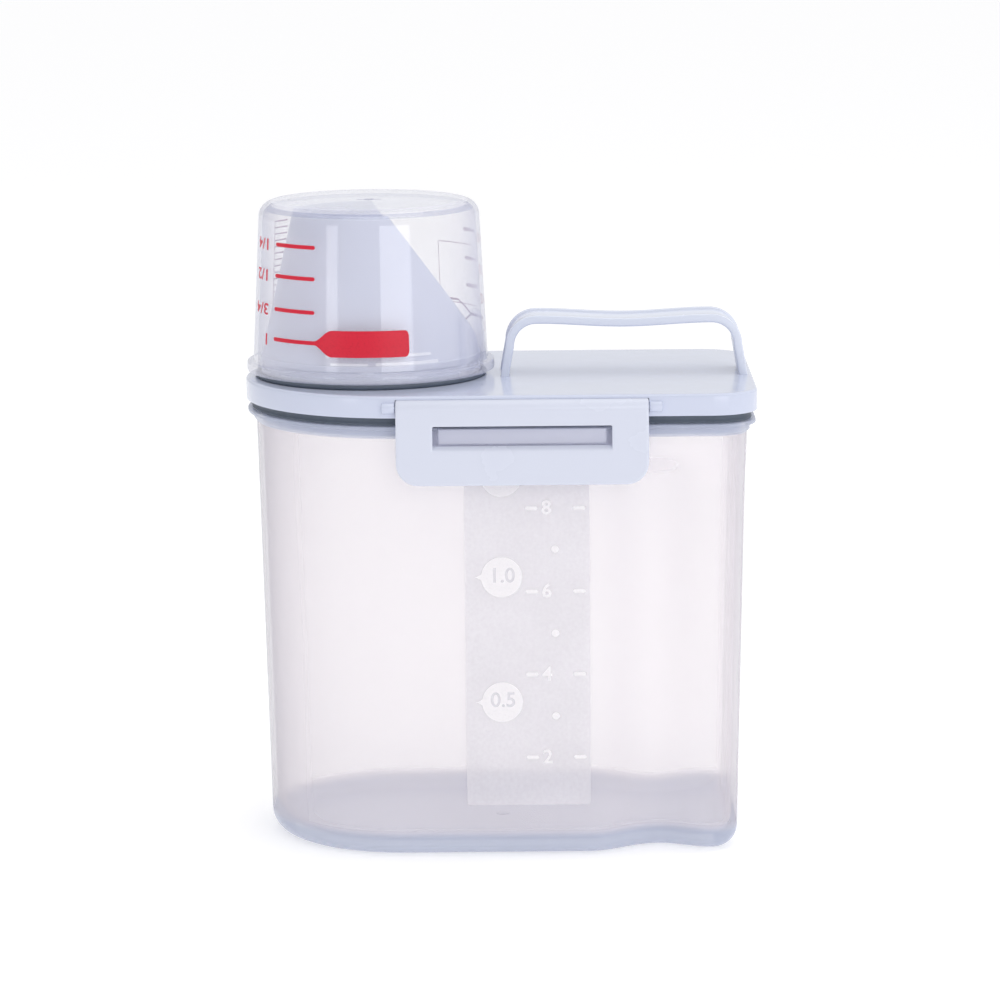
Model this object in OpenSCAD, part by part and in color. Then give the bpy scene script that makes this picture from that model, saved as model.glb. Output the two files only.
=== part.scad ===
// Rice bin: a clear, hand-gripped container with a latched lid, a pour spout under a
// measuring cup and a carrying strap. +Z is up, +X runs towards the strap, and the
// origin is on the table, midway along and across the bin.

/* [Container] */
// Outside length of the container wall at the rim
rim_length = 167.4; // [160:0.2:200]
// Outside depth of the container wall at the rim
rim_depth = 101.6; // [94:0.2:120]
// Height of the rim above the table
rim_height = 149.5; // [120:0.5:200]
// Thickness of the side walls
wall = 2; // [1.6:0.1:2.4]
// Thickness of the floor
floor_thickness = 3.5; // [2.5:0.1:5]
// Taper of the walls, in degrees
draft = 1.3; // [0.5:0.1:1.8]
// Corner radius in plan at the square end
corner_radius = 12; // [10:0.5:14]
// Radius of the outer edge around the foot
foot_radius = 7.5; // [3:0.5:9]
// Radius of the inner edge around the floor
floor_radius = 9; // [4:0.5:10]

/* [Hand grip] */
// Depth of each hand grip hollow
grip_depth = 10.6; // [4:0.2:12]
// How far the end past the grip stays drawn in
grip_end_depth = 4.7; // [2:0.1:6]
// X where the hollow starts
grip_start = 30.5; // [28:0.5:34]
// X of the deepest line of the hollow
grip_middle = 53.5; // [50:0.5:58]
// Flat between the end of the hollow and the corner
grip_end_gap = 0.2; // [0.2:0.1:2.5]
// How much further out the hollow starts for each mm that the wall lies further in
grip_spread = 0.15; // [0:0.05:0.3]
// Distance from the rim down to the top of the hollow
grip_drop = 6; // [5:0.5:20]
// Height over which the hollow fades out
grip_fade = 18; // [10:1:30]

/* [Rim] */
// How far the rim flange stands out from the wall
flange_out = 2.9; // [2.5:0.1:4.5]
// Thickness of the rim flange
flange_thickness = 1.4; // [1:0.1:2]
// Height of the collar under the flange
collar_height = 2.5; // [1.5:0.1:3.5]
// How far the collar stands out from the wall
collar_out = 0.9; // [0.4:0.1:1.5]

/* [Lid] */
// How far the lid edge stands out past the flange
lid_overhang = 0.5; // [0.4:0.1:2]
// Height of the lid's outer band
band_height = 7.4; // [6.8:0.1:10]
// Thickness of the lid's outer band
band_thickness = 1.8; // [1.2:0.1:2.2]
// Thickness of the lid's top plate
plate_thickness = 2.4; // [2:0.1:3]
// Depth of the wall that plugs into the container, below the rim
plug_depth = 4; // [3.5:0.5:8]
// Thickness of the plug wall
plug_thickness = 1.6; // [1.2:0.1:2.2]
// Gap between the plug wall and the container wall
plug_gap = 0.8; // [0.6:0.1:1.4]
// Width of the ledge that backs the gasket
ledge_width = 3.5; // [2:0.1:4]

/* [Gaskets] */
// Height of the lid gasket
gasket_height = 3.1; // [2.2:0.1:3.4]
// How far the lid gasket lies inside the lid edge
gasket_inset = 1.9; // [1.4:0.1:2.4]
// Height of the ring gasket under the cup
ring_height = 1.8; // [1:0.1:3]

/* [Measuring cup] */
// Outside radius of the cup wall at its brim
cup_radius = 40.4; // [36:0.2:44]
// Outside radius of the cup wall at its closed end
cup_end_radius = 37.9; // [33:0.2:40]
// Height of the cup
cup_height = 58.3; // [50:0.1:80]
// Thickness of the cup wall
cup_wall = 1.4; // [1:0.1:2]
// Radius of the edge around the closed end
cup_edge_radius = 5.4; // [2.5:0.1:7]
// How far the cup's brim flange stands out
cup_flange_out = 2.2; // [1:0.1:2.6]
// Height of the cup's brim flange
cup_flange_height = 3.5; // [2:0.1:5]
// Distance from the lid's round end to the brim flange
cup_edge_gap = 0.5; // [0.4:0.1:3]

/* [Pour spout] */
// Thickness of the spout wall
spout_wall = 1.9; // [1.4:0.1:2.4]
// Height of the collar around the foot of the spout
spout_collar_height = 8; // [6:0.5:10]
// Radius of the neck that passes through the lid
neck_radius = 33; // [30:0.5:33.5]
// How far the spout wall leans in from foot to lip
spout_lean = 11.3; // [5:0.1:12]
// Steepness of the cut across the spout, in degrees
cut_angle = 53.2; // [45:0.1:58]
// Distance from the spout's axis to the end of its level lip
lip_reach = 3.6; // [0:0.2:6]
// How far the spout's open side is turned to the back, in degrees
spout_turn = 7.9; // [-15:0.1:15]

/* [Latches] */
// Length of each latch
latch_length = 84.6; // [76:0.2:92]
// X of the middle of the latches
latch_x = 7.7; // [4:0.1:10]
// Height of each latch below its hinge line
latch_drop = 25.9; // [24:0.1:30]
// Thickness of the latch plate
latch_thickness = 2.2; // [1.8:0.1:2.8]
// Corner radius of the latch plate
latch_corner = 7.5; // [3:0.5:10]
// Outside radius of the rolled hinge edge
roll_radius = 2.8; // [2.6:0.1:2.9]
// Radius of the hinge pins
pin_radius = 1; // [0.8:0.05:1.2]
// Length of the window in each latch
window_length = 60; // [48:0.5:66]
// Height of the window on its inner face
window_height = 6.5; // [6.2:0.1:7.5]
// How far the window's lower edge is bevelled down
window_bevel = 1.7; // [0.5:0.1:2]
// How deep the catch bar reaches under a locked latch
catch_reach = 0.7; // [0.5:0.1:0.9]
// Angle from locked to just released
release_angle = 4.7; // [4.4:0.1:7]

/* [Carrying strap] */
// Width of the strap
strap_width = 21; // [14:0.5:28]
// Thickness of the strap
strap_thickness = 2.9; // [2.4:0.1:4]
// Depth of the channel in the top of the strap
strap_channel = 0.9; // [0.4:0.1:1.2]
// Width of the ribs along the strap's edges
strap_rib = 2.4; // [1.6:0.1:4]
// Height of the strap above the lid at its shoulders
strap_rise = 21; // [16:0.5:34]
// How far the strap sags in the middle
strap_sag = 1.2; // [0:0.1:3]
// Outer radius of the strap's bends
strap_bend = 10.5; // [8:0.5:14]
// How far each leg leans out towards its foot
leg_lean = 1.9; // [0:0.1:4]
// Distance from the strap's foot to the cup flange
strap_cup_gap = 2; // [1.5:0.1:8]
// Distance from the strap's foot to the lid's square end
strap_end_gap = 1.6; // [1:0.1:8]

/* [Scale label] */
// Width of the frosted scale label
label_width = 42; // [30:0.5:46]
// Height of the scale label
label_height = 117; // [80:1:118]
// How far the label sits above the middle of the straight wall
label_shift = 0.15; // [-4:0.05:4]
// Thickness of the label
label_thickness = 0.25; // [0.2:0.05:0.4]

/* [Hidden] */

$fn = 96;

// Gap between pieces that rest on each other but can part
seat_gap = 0.3;
// Gap around pieces that are pressed or snapped together
fit_gap = 0.15;
// Radial gap of a pin in its bore
pin_gap = 0.05;
// Overshoot of a cutting solid past the face that it cuts
over = 1;

// How far the lid's band laps over the gasket
band_lap = 0.4;
// How far the catch bars hang below the collar
catch_drop = 2;
// Smallest corner radius of the wall's plan
least_corner = 1.5;
// Room around a catch bar inside its window, lengthways and upwards
catch_end_room = 1.75;
catch_top_room = 1.1;
// Room between the spout's collar and the cup, and how far the ring laps the cup's brim
cup_room = 1.2;
ring_lap = 0.8;
// Room between the spout's lip and the cup's closed end
lip_room = 1.9;
// Step from the spout's collar in to its leaning wall
collar_step = 0.4;
// Groove around the spout's collar: height of its foot above the ring, height and depth
groove_rise = 1.5;
groove_height = 2.3;
groove_depth = 0.8;
// How far the spout's neck and the strap's tabs reach below the lid's plate
neck_drop = 2;
tab_drop = 1.6;
// How much narrower the strap's tabs are than the strap, on each side
tab_inset = 4;
// Small bevels on edges
edge_bevel = 0.8;

// Plan of the container wall at the rim
half_depth = rim_depth / 2;
wall_left = -rim_length / 2;
wall_right = rim_length / 2;
round_x = wall_left + half_depth;
corner_x = wall_right - corner_radius;

// Heights, counted up from the table
flange_foot = rim_height - flange_thickness;
collar_foot = flange_foot - collar_height;
label_foot = (foot_radius + collar_foot - label_height) / 2 + label_shift;
label_right = grip_start - grip_spread * taper(label_foot);
gasket_foot = rim_height + seat_gap;
gasket_top = gasket_foot + gasket_height;
lid_foot = gasket_top - band_lap;
lid_top = lid_foot + band_height;
plate_foot = lid_top - plate_thickness;
plug_foot = rim_height - plug_depth;

// Distances outwards from the container wall
lid_out = flange_out + lid_overhang;
band_inner = lid_out - band_thickness;
plug_outer = -wall - plug_gap;
plug_inner = plug_outer - plug_thickness;
ledge_outer = plug_outer + ledge_width;
gasket_outer = lid_out - gasket_inset;

// Hinge line of the latches
plate_inner = lid_out + seat_gap;
hinge_out = plate_inner + latch_thickness - roll_radius;
lip_thickness = 0.9;
hinge_y = half_depth + hinge_out;
hinge_z = lid_top - lip_thickness - seat_gap - roll_radius;
boss_wall = 0.9;
boss_radius = pin_radius + boss_wall;
boss_length = 4.2;
pin_cover = 0.6;
latch_end_gap = 0.35;
pin_length = latch_length + 2 * latch_end_gap + 2 * (boss_length - pin_cover);

// Catch bars on the container
catch_clear = 0.3;
catch_length = window_length - 2 * catch_end_room;
catch_height = window_height - catch_top_room;
catch_foot = collar_foot - catch_drop;
catch_out = plate_inner + catch_reach;
window_foot = hinge_z - catch_foot + catch_clear;

// Measuring cup and spout, on one upright axis
cup_x = -rim_length / 2 - lid_out + cup_edge_gap + cup_radius + cup_flange_out;
ring_top = lid_top + ring_height;
cup_foot = ring_top + seat_gap;
cup_top = cup_foot + cup_height;
cup_inner_radius = cup_radius - cup_wall;
collar_radius = cup_inner_radius - cup_room;
ring_outer = cup_inner_radius + ring_lap;
spout_top = cup_top - cup_wall - lip_room;
spout_foot_radius = collar_radius - collar_step;
spout_lip_radius = spout_foot_radius - spout_lean;
collar_top = lid_top + spout_collar_height;
neck_foot = plate_foot - neck_drop;
neck_wall = 1.8;
snap_out = 0.9;

// Strap, from its foot by the cup to its foot by the square end
strap_left = cup_x + cup_radius + cup_flange_out + strap_cup_gap;
strap_right = rim_length / 2 + lid_out - strap_end_gap;
tab_width = strap_width - 2 * tab_inset;
tab_foot = plate_foot - tab_drop;
barb_out = 0.8;

// Sections along which the container wall is drawn
arc_steps = 28;
grip_steps = 16;
corner_steps = 6;
fade_steps = 6;
edge_step = 15;

// How far the tapered wall lies inside the rim outline at height z
function taper(z) = (rim_height - z) * tan(draft);

// A smooth 0 to 1 step
function ease(t) = (1 - cos(180 * t)) / 2;

// Share of the hand grip's depth at height z: full below, none near the rim
function grip_share(z) =
    let (t = (rim_height - grip_drop - z) / grip_fade)
    t <= 0 ? 0 : t >= 1 ? 1 : ease(t);

// Depth of the hollow at x along a run from a depth at x0 to another at x1
function run_depth(x, x0, depth0, x1, depth1) =
    depth0 + (depth1 - depth0) * ease((x - x0) / (x1 - x0));

// Depth of the full hand grip at x, between where the hollow starts and ends
function grip_at(x, start, end) =
    x <= start ? 0
    : x <= grip_middle ? run_depth(x, start, 0, grip_middle, grip_depth)
    : x <= end ? run_depth(x, grip_middle, grip_depth, end, grip_end_depth)
    : grip_end_depth;

// One point of the front wall at x, as x and depth, set out by out
function front_point(x, out, share, start, end) =
    let (rise = grip_at(x + 0.05, start, end) - grip_at(x - 0.05, start, end),
         slope = share * rise / 0.1, size = sqrt(1 + slope * slope))
    [x + out * slope / size, share * grip_at(x, start, end) - out / size];

// The half outline along the front, from the round end to the square end, for a wall that
// lies inset inside the rim outline, set out by out, with share of the hand grip
function front_half(inset, out, share) =
    let (radius = half_depth + out - inset,
         side_y = -half_depth + inset,
         end_x = wall_right + out - inset,
         end_y = side_y - out + share * grip_end_depth,
         corner = max(corner_radius + out - inset, least_corner),
         start = grip_start - grip_spread * inset,
         end = end_x - corner - grip_end_gap)
    concat(
        [for (i = [0:arc_steps / 2])
            let (a = 180 + 90 * i / (arc_steps / 2))
            [round_x + radius * cos(a), radius * sin(a)]],
        [for (i = [0:grip_steps])
            [0, side_y] + front_point(start + (end - start) * i / grip_steps,
                                      out, share, start, end)],
        [for (i = [0:corner_steps])
            let (a = -90 + 90 * i / corner_steps)
            [end_x - corner + corner * cos(a), end_y + corner + corner * sin(a)]]);

// The whole outline, anticlockwise from above, without repeating the point at the round end
function outline(inset, out, share) =
    let (front = front_half(inset, out, share), last = len(front) - 1)
    concat(front, [for (i = [last:-1:1]) [front[i][0], -front[i][1]]]);

// Rings of the container wall as [height, distance in, distance out from there], from the
// foot to the rim and down to the floor
function wall_rings() = concat(
    [for (a = [0:edge_step:90])
        [foot_radius * (1 - cos(a)), foot_radius * (1 - sin(a)), 0]],
    [for (i = [fade_steps:-1:0])
        [rim_height - grip_drop - grip_fade * i / fade_steps, 0, 0]],
    [[collar_foot, 0, 0], [collar_foot + 0.3, 0, collar_out],
     [flange_foot - 0.3, 0, collar_out], [flange_foot, 0, flange_out - 0.5],
     [flange_foot + 0.4, 0, flange_out], [rim_height - 0.5, 0, flange_out],
     [rim_height, 0, flange_out - 0.6], [rim_height, 0, -wall]],
    [for (i = [0:fade_steps])
        [rim_height - grip_drop - grip_fade * i / fade_steps, 0, -wall]],
    [for (a = [0:edge_step:90])
        [floor_thickness + floor_radius * (1 - sin(a)), floor_radius * (1 - cos(a)), -wall]]);

// A closed skin through a list of rings that all have the same number of points
module ring_skin(rings) {
    count = len(rings[0]);
    last = len(rings) - 1;
    points = [for (ring = rings) each ring];
    sides = [for (r = [0:last - 1]) for (i = [0:count - 1])
        let (a = r * count + i, b = r * count + (i + 1) % count)
        each [[a, a + count, b], [b, a + count, b + count]]];
    foot = [for (i = [0:count - 1]) i];
    head = [for (i = [count - 1:-1:0]) last * count + i];
    polyhedron(points, concat([foot, head], sides), convexity = 6);
}

// Plan of the bin, set out from the container wall at the rim
module plan(out) {
    translate([round_x, 0]) circle(r = half_depth + out);
    translate([round_x, -half_depth - out]) square([corner_x - round_x, 2 * (half_depth + out)]);
    translate([round_x, -half_depth + corner_radius])
        square([wall_right + out - round_x, 2 * (half_depth - corner_radius)]);
    for (side = [-1, 1])
        translate([corner_x, side * (half_depth - corner_radius)]) circle(r = corner_radius + out);
}

// A ring between two distances out from the wall, from height low to height high
module plan_ring(inner, outer, low, high) {
    translate([0, 0, low])
        linear_extrude(high - low)
            difference() {
                plan(outer);
                plan(inner);
            }
}

// Mirrors what stands at the front to the back as well
module front_and_rear() {
    children();
    mirror([0, 1, 0]) children();
}

// A round bar along X, centred on the latches
module hinge_bar(radius, length) {
    translate([latch_x - length / 2, -hinge_y, hinge_z])
        rotate([0, 90, 0])
            cylinder(r = radius, h = length);
}

// The bar that a locked latch hooks under, at the front
module catch_bar() {
    root = half_depth - wall / 2;
    reach = half_depth + catch_out;
    translate([latch_x - catch_length / 2, 0, catch_foot])
        rotate([90, 0, 90])
            linear_extrude(catch_length)
                polygon([[-root, 0], [-reach, 0], [-reach, catch_height - 1],
                         [-reach + 1, catch_height], [-root, catch_height]]);
}

module container() {
    color([0.93, 0.94, 0.97, 0.45])
        union() {
            ring_skin([for (r = wall_rings())
                [for (p = outline(r[1] + taper(r[0]), r[2], grip_share(r[0])))
                    [p[0], p[1], r[0]]]]);
            front_and_rear() catch_bar();
        }
}

module scale_label() {
    color([0.9, 0.9, 0.93, 0.8])
        translate([label_right - label_width, taper(label_foot) - half_depth, label_foot])
            rotate([draft, 0, 0])
                translate([0, -label_thickness - 0.05, 0])
                    cube([label_width, label_thickness, label_height]);
}

// One opening in the lid for a leg of the strap, with room for its barb under the plate
module strap_slot(x, barb_side) {
    barb_x = barb_side > 0 ? x + strap_thickness : x - barb_out;
    width = tab_width + 2 * fit_gap;
    translate([x - fit_gap, -width / 2, tab_foot - over])
        cube([strap_thickness + 2 * fit_gap, width, lid_top - tab_foot + 2 * over]);
    translate([barb_x - fit_gap, -width / 2, tab_foot - over])
        cube([barb_out + 2 * fit_gap, width, plate_foot - tab_foot + over]);
}

module lid() {
    color([0.86, 0.88, 0.95])
        union() {
            difference() {
                union() {
                    translate([0, 0, plate_foot]) linear_extrude(plate_thickness) plan(lid_out);
                    plan_ring(band_inner, lid_out, lid_foot, plate_foot);
                    plan_ring(plug_outer, ledge_outer, gasket_top, plate_foot);
                    plan_ring(plug_inner, plug_outer, plug_foot, plate_foot);
                }
                translate([cup_x, 0, plate_foot - over])
                    cylinder(r = neck_radius + fit_gap, h = plate_thickness + 2 * over);
                strap_slot(strap_left, 1);
                strap_slot(strap_right - strap_thickness, -1);
                front_and_rear()
                    hinge_bar(roll_radius + seat_gap, latch_length + 2 * latch_end_gap);
                front_and_rear() hinge_bar(pin_radius + pin_gap, pin_length);
            }
            front_and_rear() hinge_bosses();
        }
}

// The pair of bosses that carry one hinge pin, at the front
module hinge_bosses() {
    difference() {
        for (side = [-1, 1])
            translate([side * (latch_length / 2 + latch_end_gap + boss_length / 2), 0, 0])
                hinge_bar(boss_radius, boss_length);
        hinge_bar(pin_radius + pin_gap, pin_length);
    }
}

module lid_gasket() {
    color([0.33, 0.37, 0.42])
        plan_ring(plug_outer + fit_gap, gasket_outer, gasket_foot, gasket_top);
}

module spout_gasket() {
    color([0.33, 0.37, 0.42])
        translate([cup_x, 0, lid_top])
            difference() {
                cylinder(r = ring_outer, h = ring_height);
                translate([0, 0, -over])
                    cylinder(r = collar_radius + fit_gap, h = ring_height + 2 * over);
            }
}

// The spout's section: the neck, the collar and the leaning wall
module spout_section() {
    groove_low = ring_top + groove_rise;
    groove_high = groove_low + groove_height;
    polygon([
        [neck_radius - neck_wall, neck_foot],
        [neck_radius + snap_out, neck_foot],
        [neck_radius + snap_out, plate_foot - seat_gap],
        [neck_radius, plate_foot - seat_gap],
        [neck_radius, lid_top],
        [collar_radius, lid_top],
        [collar_radius, groove_low],
        [collar_radius - groove_depth, groove_low],
        [collar_radius - groove_depth, groove_high],
        [collar_radius, groove_high],
        [collar_radius, collar_top],
        [spout_foot_radius, collar_top],
        [spout_lip_radius, spout_top],
        [spout_lip_radius - spout_wall, spout_top],
        [spout_foot_radius - spout_wall, collar_top],
        [neck_radius - neck_wall, lid_top]]);
}

module pour_spout() {
    color([0.76, 0.81, 0.92])
        translate([cup_x, 0, 0])
            rotate([0, 0, spout_turn])
                difference() {
                    rotate_extrude() spout_section();
                    translate([lip_reach, 0, spout_top])
                        rotate([0, cut_angle, 0])
                            translate([0, -cup_radius, 0])
                                cube([3 * cup_radius, 2 * cup_radius, 2 * cup_radius]);
                }
}

// Section of the cup, brim down: outer skin, then inner skin
module cup_section() {
    edge = cup_edge_radius;
    inner_edge = cup_edge_radius - cup_wall;
    flange = cup_radius + cup_flange_out;
    end_z = cup_top - edge;
    polygon(concat(
        [[cup_inner_radius, cup_foot], [flange - edge_bevel, cup_foot],
         [flange, cup_foot + edge_bevel],
         [flange, cup_foot + cup_flange_height - edge_bevel],
         [flange - edge_bevel, cup_foot + cup_flange_height],
         [cup_radius, cup_foot + cup_flange_height]],
        [for (a = [0:edge_step:90])
            [cup_end_radius - edge * (1 - cos(a)), end_z + edge * sin(a)]],
        [[0, cup_top], [0, cup_top - cup_wall]],
        [for (a = [90:-edge_step:0])
            [cup_end_radius - edge + inner_edge * cos(a), end_z + inner_edge * sin(a)]]));
}

module measuring_cup() {
    color([0.95, 0.95, 0.98, 0.4])
        translate([cup_x, 0, 0]) rotate_extrude() cup_section();
}

// One latch about its hinge line, locked: the plate hangs down on the -Y side
module latch_body() {
    face = roll_radius;
    difference() {
        union() {
            translate([-latch_length / 2, 0, 0])
                rotate([0, 90, 0])
                    cylinder(r = roll_radius, h = latch_length);
            translate([0, -face + latch_thickness, 0])
                rotate([90, 0, 0])
                    linear_extrude(latch_thickness) latch_outline();
        }
        translate([-latch_length / 2 - over, 0, 0])
            rotate([0, 90, 0])
                cylinder(r = pin_radius + pin_gap, h = latch_length + 2 * over);
        translate([-window_length / 2, 0, -window_foot])
            rotate([90, 0, 90])
                linear_extrude(window_length)
                    polygon([[-face - over, -window_bevel], [-face, -window_bevel],
                             [-face + latch_thickness, 0], [-face + latch_thickness + over, 0],
                             [-face + latch_thickness + over, window_height],
                             [-face - over, window_height]]);
    }
}

// Outline of the latch plate, hinge line at the top, seen from the front
module latch_outline() {
    half = latch_length / 2;
    translate([-half, -latch_drop + latch_corner]) square([latch_length, latch_drop - latch_corner]);
    translate([-half + latch_corner, -latch_drop])
        square([latch_length - 2 * latch_corner, latch_corner]);
    for (side = [-1, 1])
        translate([side * (half - latch_corner), -latch_drop + latch_corner])
            circle(r = latch_corner);
}

// The front latch, hanging just released from its catch bar
module latch_in_place() {
    translate([latch_x, -hinge_y, hinge_z]) rotate([-release_angle, 0, 0]) latch_body();
}

module front_latch() {
    color([0.86, 0.88, 0.94]) latch_in_place();
}

module rear_latch() {
    color([0.86, 0.88, 0.94]) mirror([0, 1, 0]) latch_in_place();
}

module front_hinge_pin() {
    color([0.8, 0.82, 0.86]) hinge_bar(pin_radius, pin_length - 2 * fit_gap);
}

module rear_hinge_pin() {
    color([0.8, 0.82, 0.86]) mirror([0, 1, 0]) hinge_bar(pin_radius, pin_length - 2 * fit_gap);
}

// Middle line of half the strap from its foot to its middle, counted from the foot's outer face
function strap_half(bend, length) =
    let (top = lid_top + strap_rise - strap_thickness / 2)
    concat(
        [[strap_thickness / 2, lid_top],
         [strap_thickness / 2 + leg_lean, top - bend]],
        [for (a = [edge_step:edge_step:90])
            [strap_thickness / 2 + leg_lean + bend * (1 - cos(a)), top - bend * (1 - sin(a))]],
        [for (i = [1:8])
            let (t = i / 8, start = strap_thickness / 2 + leg_lean + bend)
            [start + (length / 2 - start) * t, top - strap_sag * ease(t)]]);

// The whole middle line, in X and Z
function strap_line() =
    let (length = strap_right - strap_left,
         half = strap_half(strap_bend - strap_thickness / 2, length), last = len(half) - 1)
    concat([for (p = half) [strap_left + p[0], p[1]]],
           [for (i = [last - 1:-1:0]) [strap_right - half[i][0], half[i][1]]]);

// The line's own direction at point i, across which its thickness is set out
function line_side(line, i) =
    let (a = line[max(i - 1, 0)], b = line[min(i + 1, len(line) - 1)], d = b - a)
    [-d[1], d[0]] / norm(d);

// A band along the strap's line, from low to high across it and from y0 to y1
module strap_band(low, high, y0, y1) {
    line = strap_line();
    last = len(line) - 1;
    difference() {
        translate([0, y1, 0])
            rotate([90, 0, 0])
                linear_extrude(y1 - y0)
                    polygon(concat(
                        [for (i = [0:last]) line[i] + high * line_side(line, i)],
                        [for (i = [last:-1:0]) line[i] + low * line_side(line, i)]));
        translate([strap_left - strap_rise, y0 - over, lid_top - strap_rise])
            cube([strap_right - strap_left + 2 * strap_rise, y1 - y0 + 2 * over, strap_rise]);
    }
}

// One leg's tab through the lid, with its barb under the plate
module strap_tab(x, barb_side) {
    translate([x, -tab_width / 2, tab_foot])
        cube([strap_thickness, tab_width, lid_top - tab_foot + 0.5]);
    translate([barb_side > 0 ? x + strap_thickness : x - barb_out, -tab_width / 2, tab_foot])
        cube([barb_out, tab_width, plate_foot - seat_gap - tab_foot]);
}

module carry_strap() {
    half = strap_thickness / 2;
    edge = strap_width / 2;
    color([0.86, 0.88, 0.95])
        union() {
            strap_band(-half, half - strap_channel, -edge, edge);
            strap_band(-half, half, -edge, -edge + strap_rib);
            strap_band(-half, half, edge - strap_rib, edge);
            strap_tab(strap_left, 1);
            strap_tab(strap_right - strap_thickness, -1);
        }
}

container();
scale_label();
lid();
lid_gasket();
pour_spout();
spout_gasket();
measuring_cup();
front_latch();
rear_latch();
front_hinge_pin();
rear_hinge_pin();
carry_strap();
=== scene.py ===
"""A rice bin: clear hand-gripped container, latched lid, pour spout under a measuring cup, strap.

Sizes are in millimetres until a mesh is made, and in metres from there on. +Z is up, +X runs
towards the strap, and the front of the bin, with its scale label, faces -Y.
"""

import logging
import math
from dataclasses import dataclass
from enum import Enum
from typing import Any, Callable, Mapping, Sequence

import bmesh
import bpy
from mathutils import Matrix, Vector


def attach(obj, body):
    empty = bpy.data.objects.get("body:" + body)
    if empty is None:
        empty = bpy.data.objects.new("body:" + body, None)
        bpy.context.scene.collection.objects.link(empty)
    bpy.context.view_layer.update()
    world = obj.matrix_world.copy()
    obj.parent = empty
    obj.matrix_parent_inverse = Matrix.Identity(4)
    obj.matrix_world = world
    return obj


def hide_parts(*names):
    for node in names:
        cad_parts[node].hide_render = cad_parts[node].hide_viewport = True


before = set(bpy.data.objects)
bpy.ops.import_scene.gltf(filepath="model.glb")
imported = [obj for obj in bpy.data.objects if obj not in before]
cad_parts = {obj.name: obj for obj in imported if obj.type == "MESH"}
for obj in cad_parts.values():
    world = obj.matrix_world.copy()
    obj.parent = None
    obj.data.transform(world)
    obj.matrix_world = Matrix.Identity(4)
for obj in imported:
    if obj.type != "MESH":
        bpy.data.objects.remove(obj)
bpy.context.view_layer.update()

MM = 0.001
LOG = logging.getLogger("rice_bin")

# In millimetres: corners this close become one, and no ring, corner or chord gets smaller
MERGE = 0.002
LEAST_RING = 0.0005
LEAST_ROUND = 0.02
LEAST_CHORD_SQUARED = 0.0004

CIRCLE_SIDES = 128
ROD_SIDES = 48
SOFTEN_STEPS = 3

Pair = tuple[float, float]
Point = tuple[float, float, float]
Ring = list[Point]
Colour = tuple[float, float, float]


class Body(Enum):
    """The bodies that pieces ride on."""

    CONTAINER = "container"
    LID = "lid"
    CUP = "cup"
    FRONT_LATCH = "front_latch"
    REAR_LATCH = "rear_latch"


class Slot(Enum):
    """Names of the material slots."""

    CLEAR = "clear"
    LABEL = "label"
    LID = "lid"
    LATCH = "latch"
    STRAP = "strap"
    SEAL = "seal"
    SPOUT = "spout"
    CUP = "cup"


class Side(Enum):
    """The two long sides of the bin, as the sign of Y."""

    FRONT = -1
    REAR = 1


def linear(red: int, green: int, blue: int) -> Colour:
    """Turns a screen colour into a scene-linear one.

    Args:
        red: Red from 0 to 255.
        green: Green from 0 to 255.
        blue: Blue from 0 to 255.

    Returns:
        The three linear values from 0 to 1.
    """
    def channel(value: int) -> float:
        """Linear value of one channel."""
        share = value / 255
        return share / 12.92 if share <= 0.04045 else ((share + 0.055) / 1.055) ** 2.4

    return channel(red), channel(green), channel(blue)


def ease(share: float) -> float:
    """A smooth step from 0 to 1 for a share from 0 to 1."""
    return (1 - math.cos(math.pi * min(max(share, 0.0), 1.0))) / 2


def spaced(first: float, last: float, steps: int) -> list[float]:
    """Evenly spaced values from first to last, both included, in that many steps."""
    return [first + (last - first) * i / steps for i in range(steps + 1)]


# Shaders


class Value:
    """A shader socket that takes part in Python arithmetic."""

    def __init__(self, graph: "Graph", socket: bpy.types.NodeSocket | None) -> None:
        """Keeps the graph, and the socket, which an output node doesn't have."""
        self.graph = graph
        self.socket = socket

    def _maths(self, operation: str, first: Any, second: Any) -> "Value":
        """One Math node on two values or numbers."""
        return self.graph.node("ShaderNodeMath", {"operation": operation}, {0: first, 1: second})

    def __add__(self, other: Any) -> "Value":
        """Sum."""
        return self._maths("ADD", self, other)

    def __sub__(self, other: Any) -> "Value":
        """Difference."""
        return self._maths("SUBTRACT", self, other)

    def __mul__(self, other: Any) -> "Value":
        """Product."""
        return self._maths("MULTIPLY", self, other)

    def __pow__(self, other: Any) -> "Value":
        """Power."""
        return self._maths("POWER", self, other)

    def __rsub__(self, other: Any) -> "Value":
        """A number less this value."""
        return self._maths("SUBTRACT", other, self)

    __radd__ = __add__
    __rmul__ = __mul__

    def between(self, low: float, high: float) -> "Value":
        """Runs smoothly from 0 at low to 1 at high.

        Args:
            low: The value that gives 0.
            high: The value that gives 1.

        Returns:
            The eased value, kept from 0 to 1.
        """
        settings = {"interpolation_type": "SMOOTHSTEP"}
        return self.graph.node("ShaderNodeMapRange", settings, {"Value": self, 1: low, 2: high})


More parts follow.
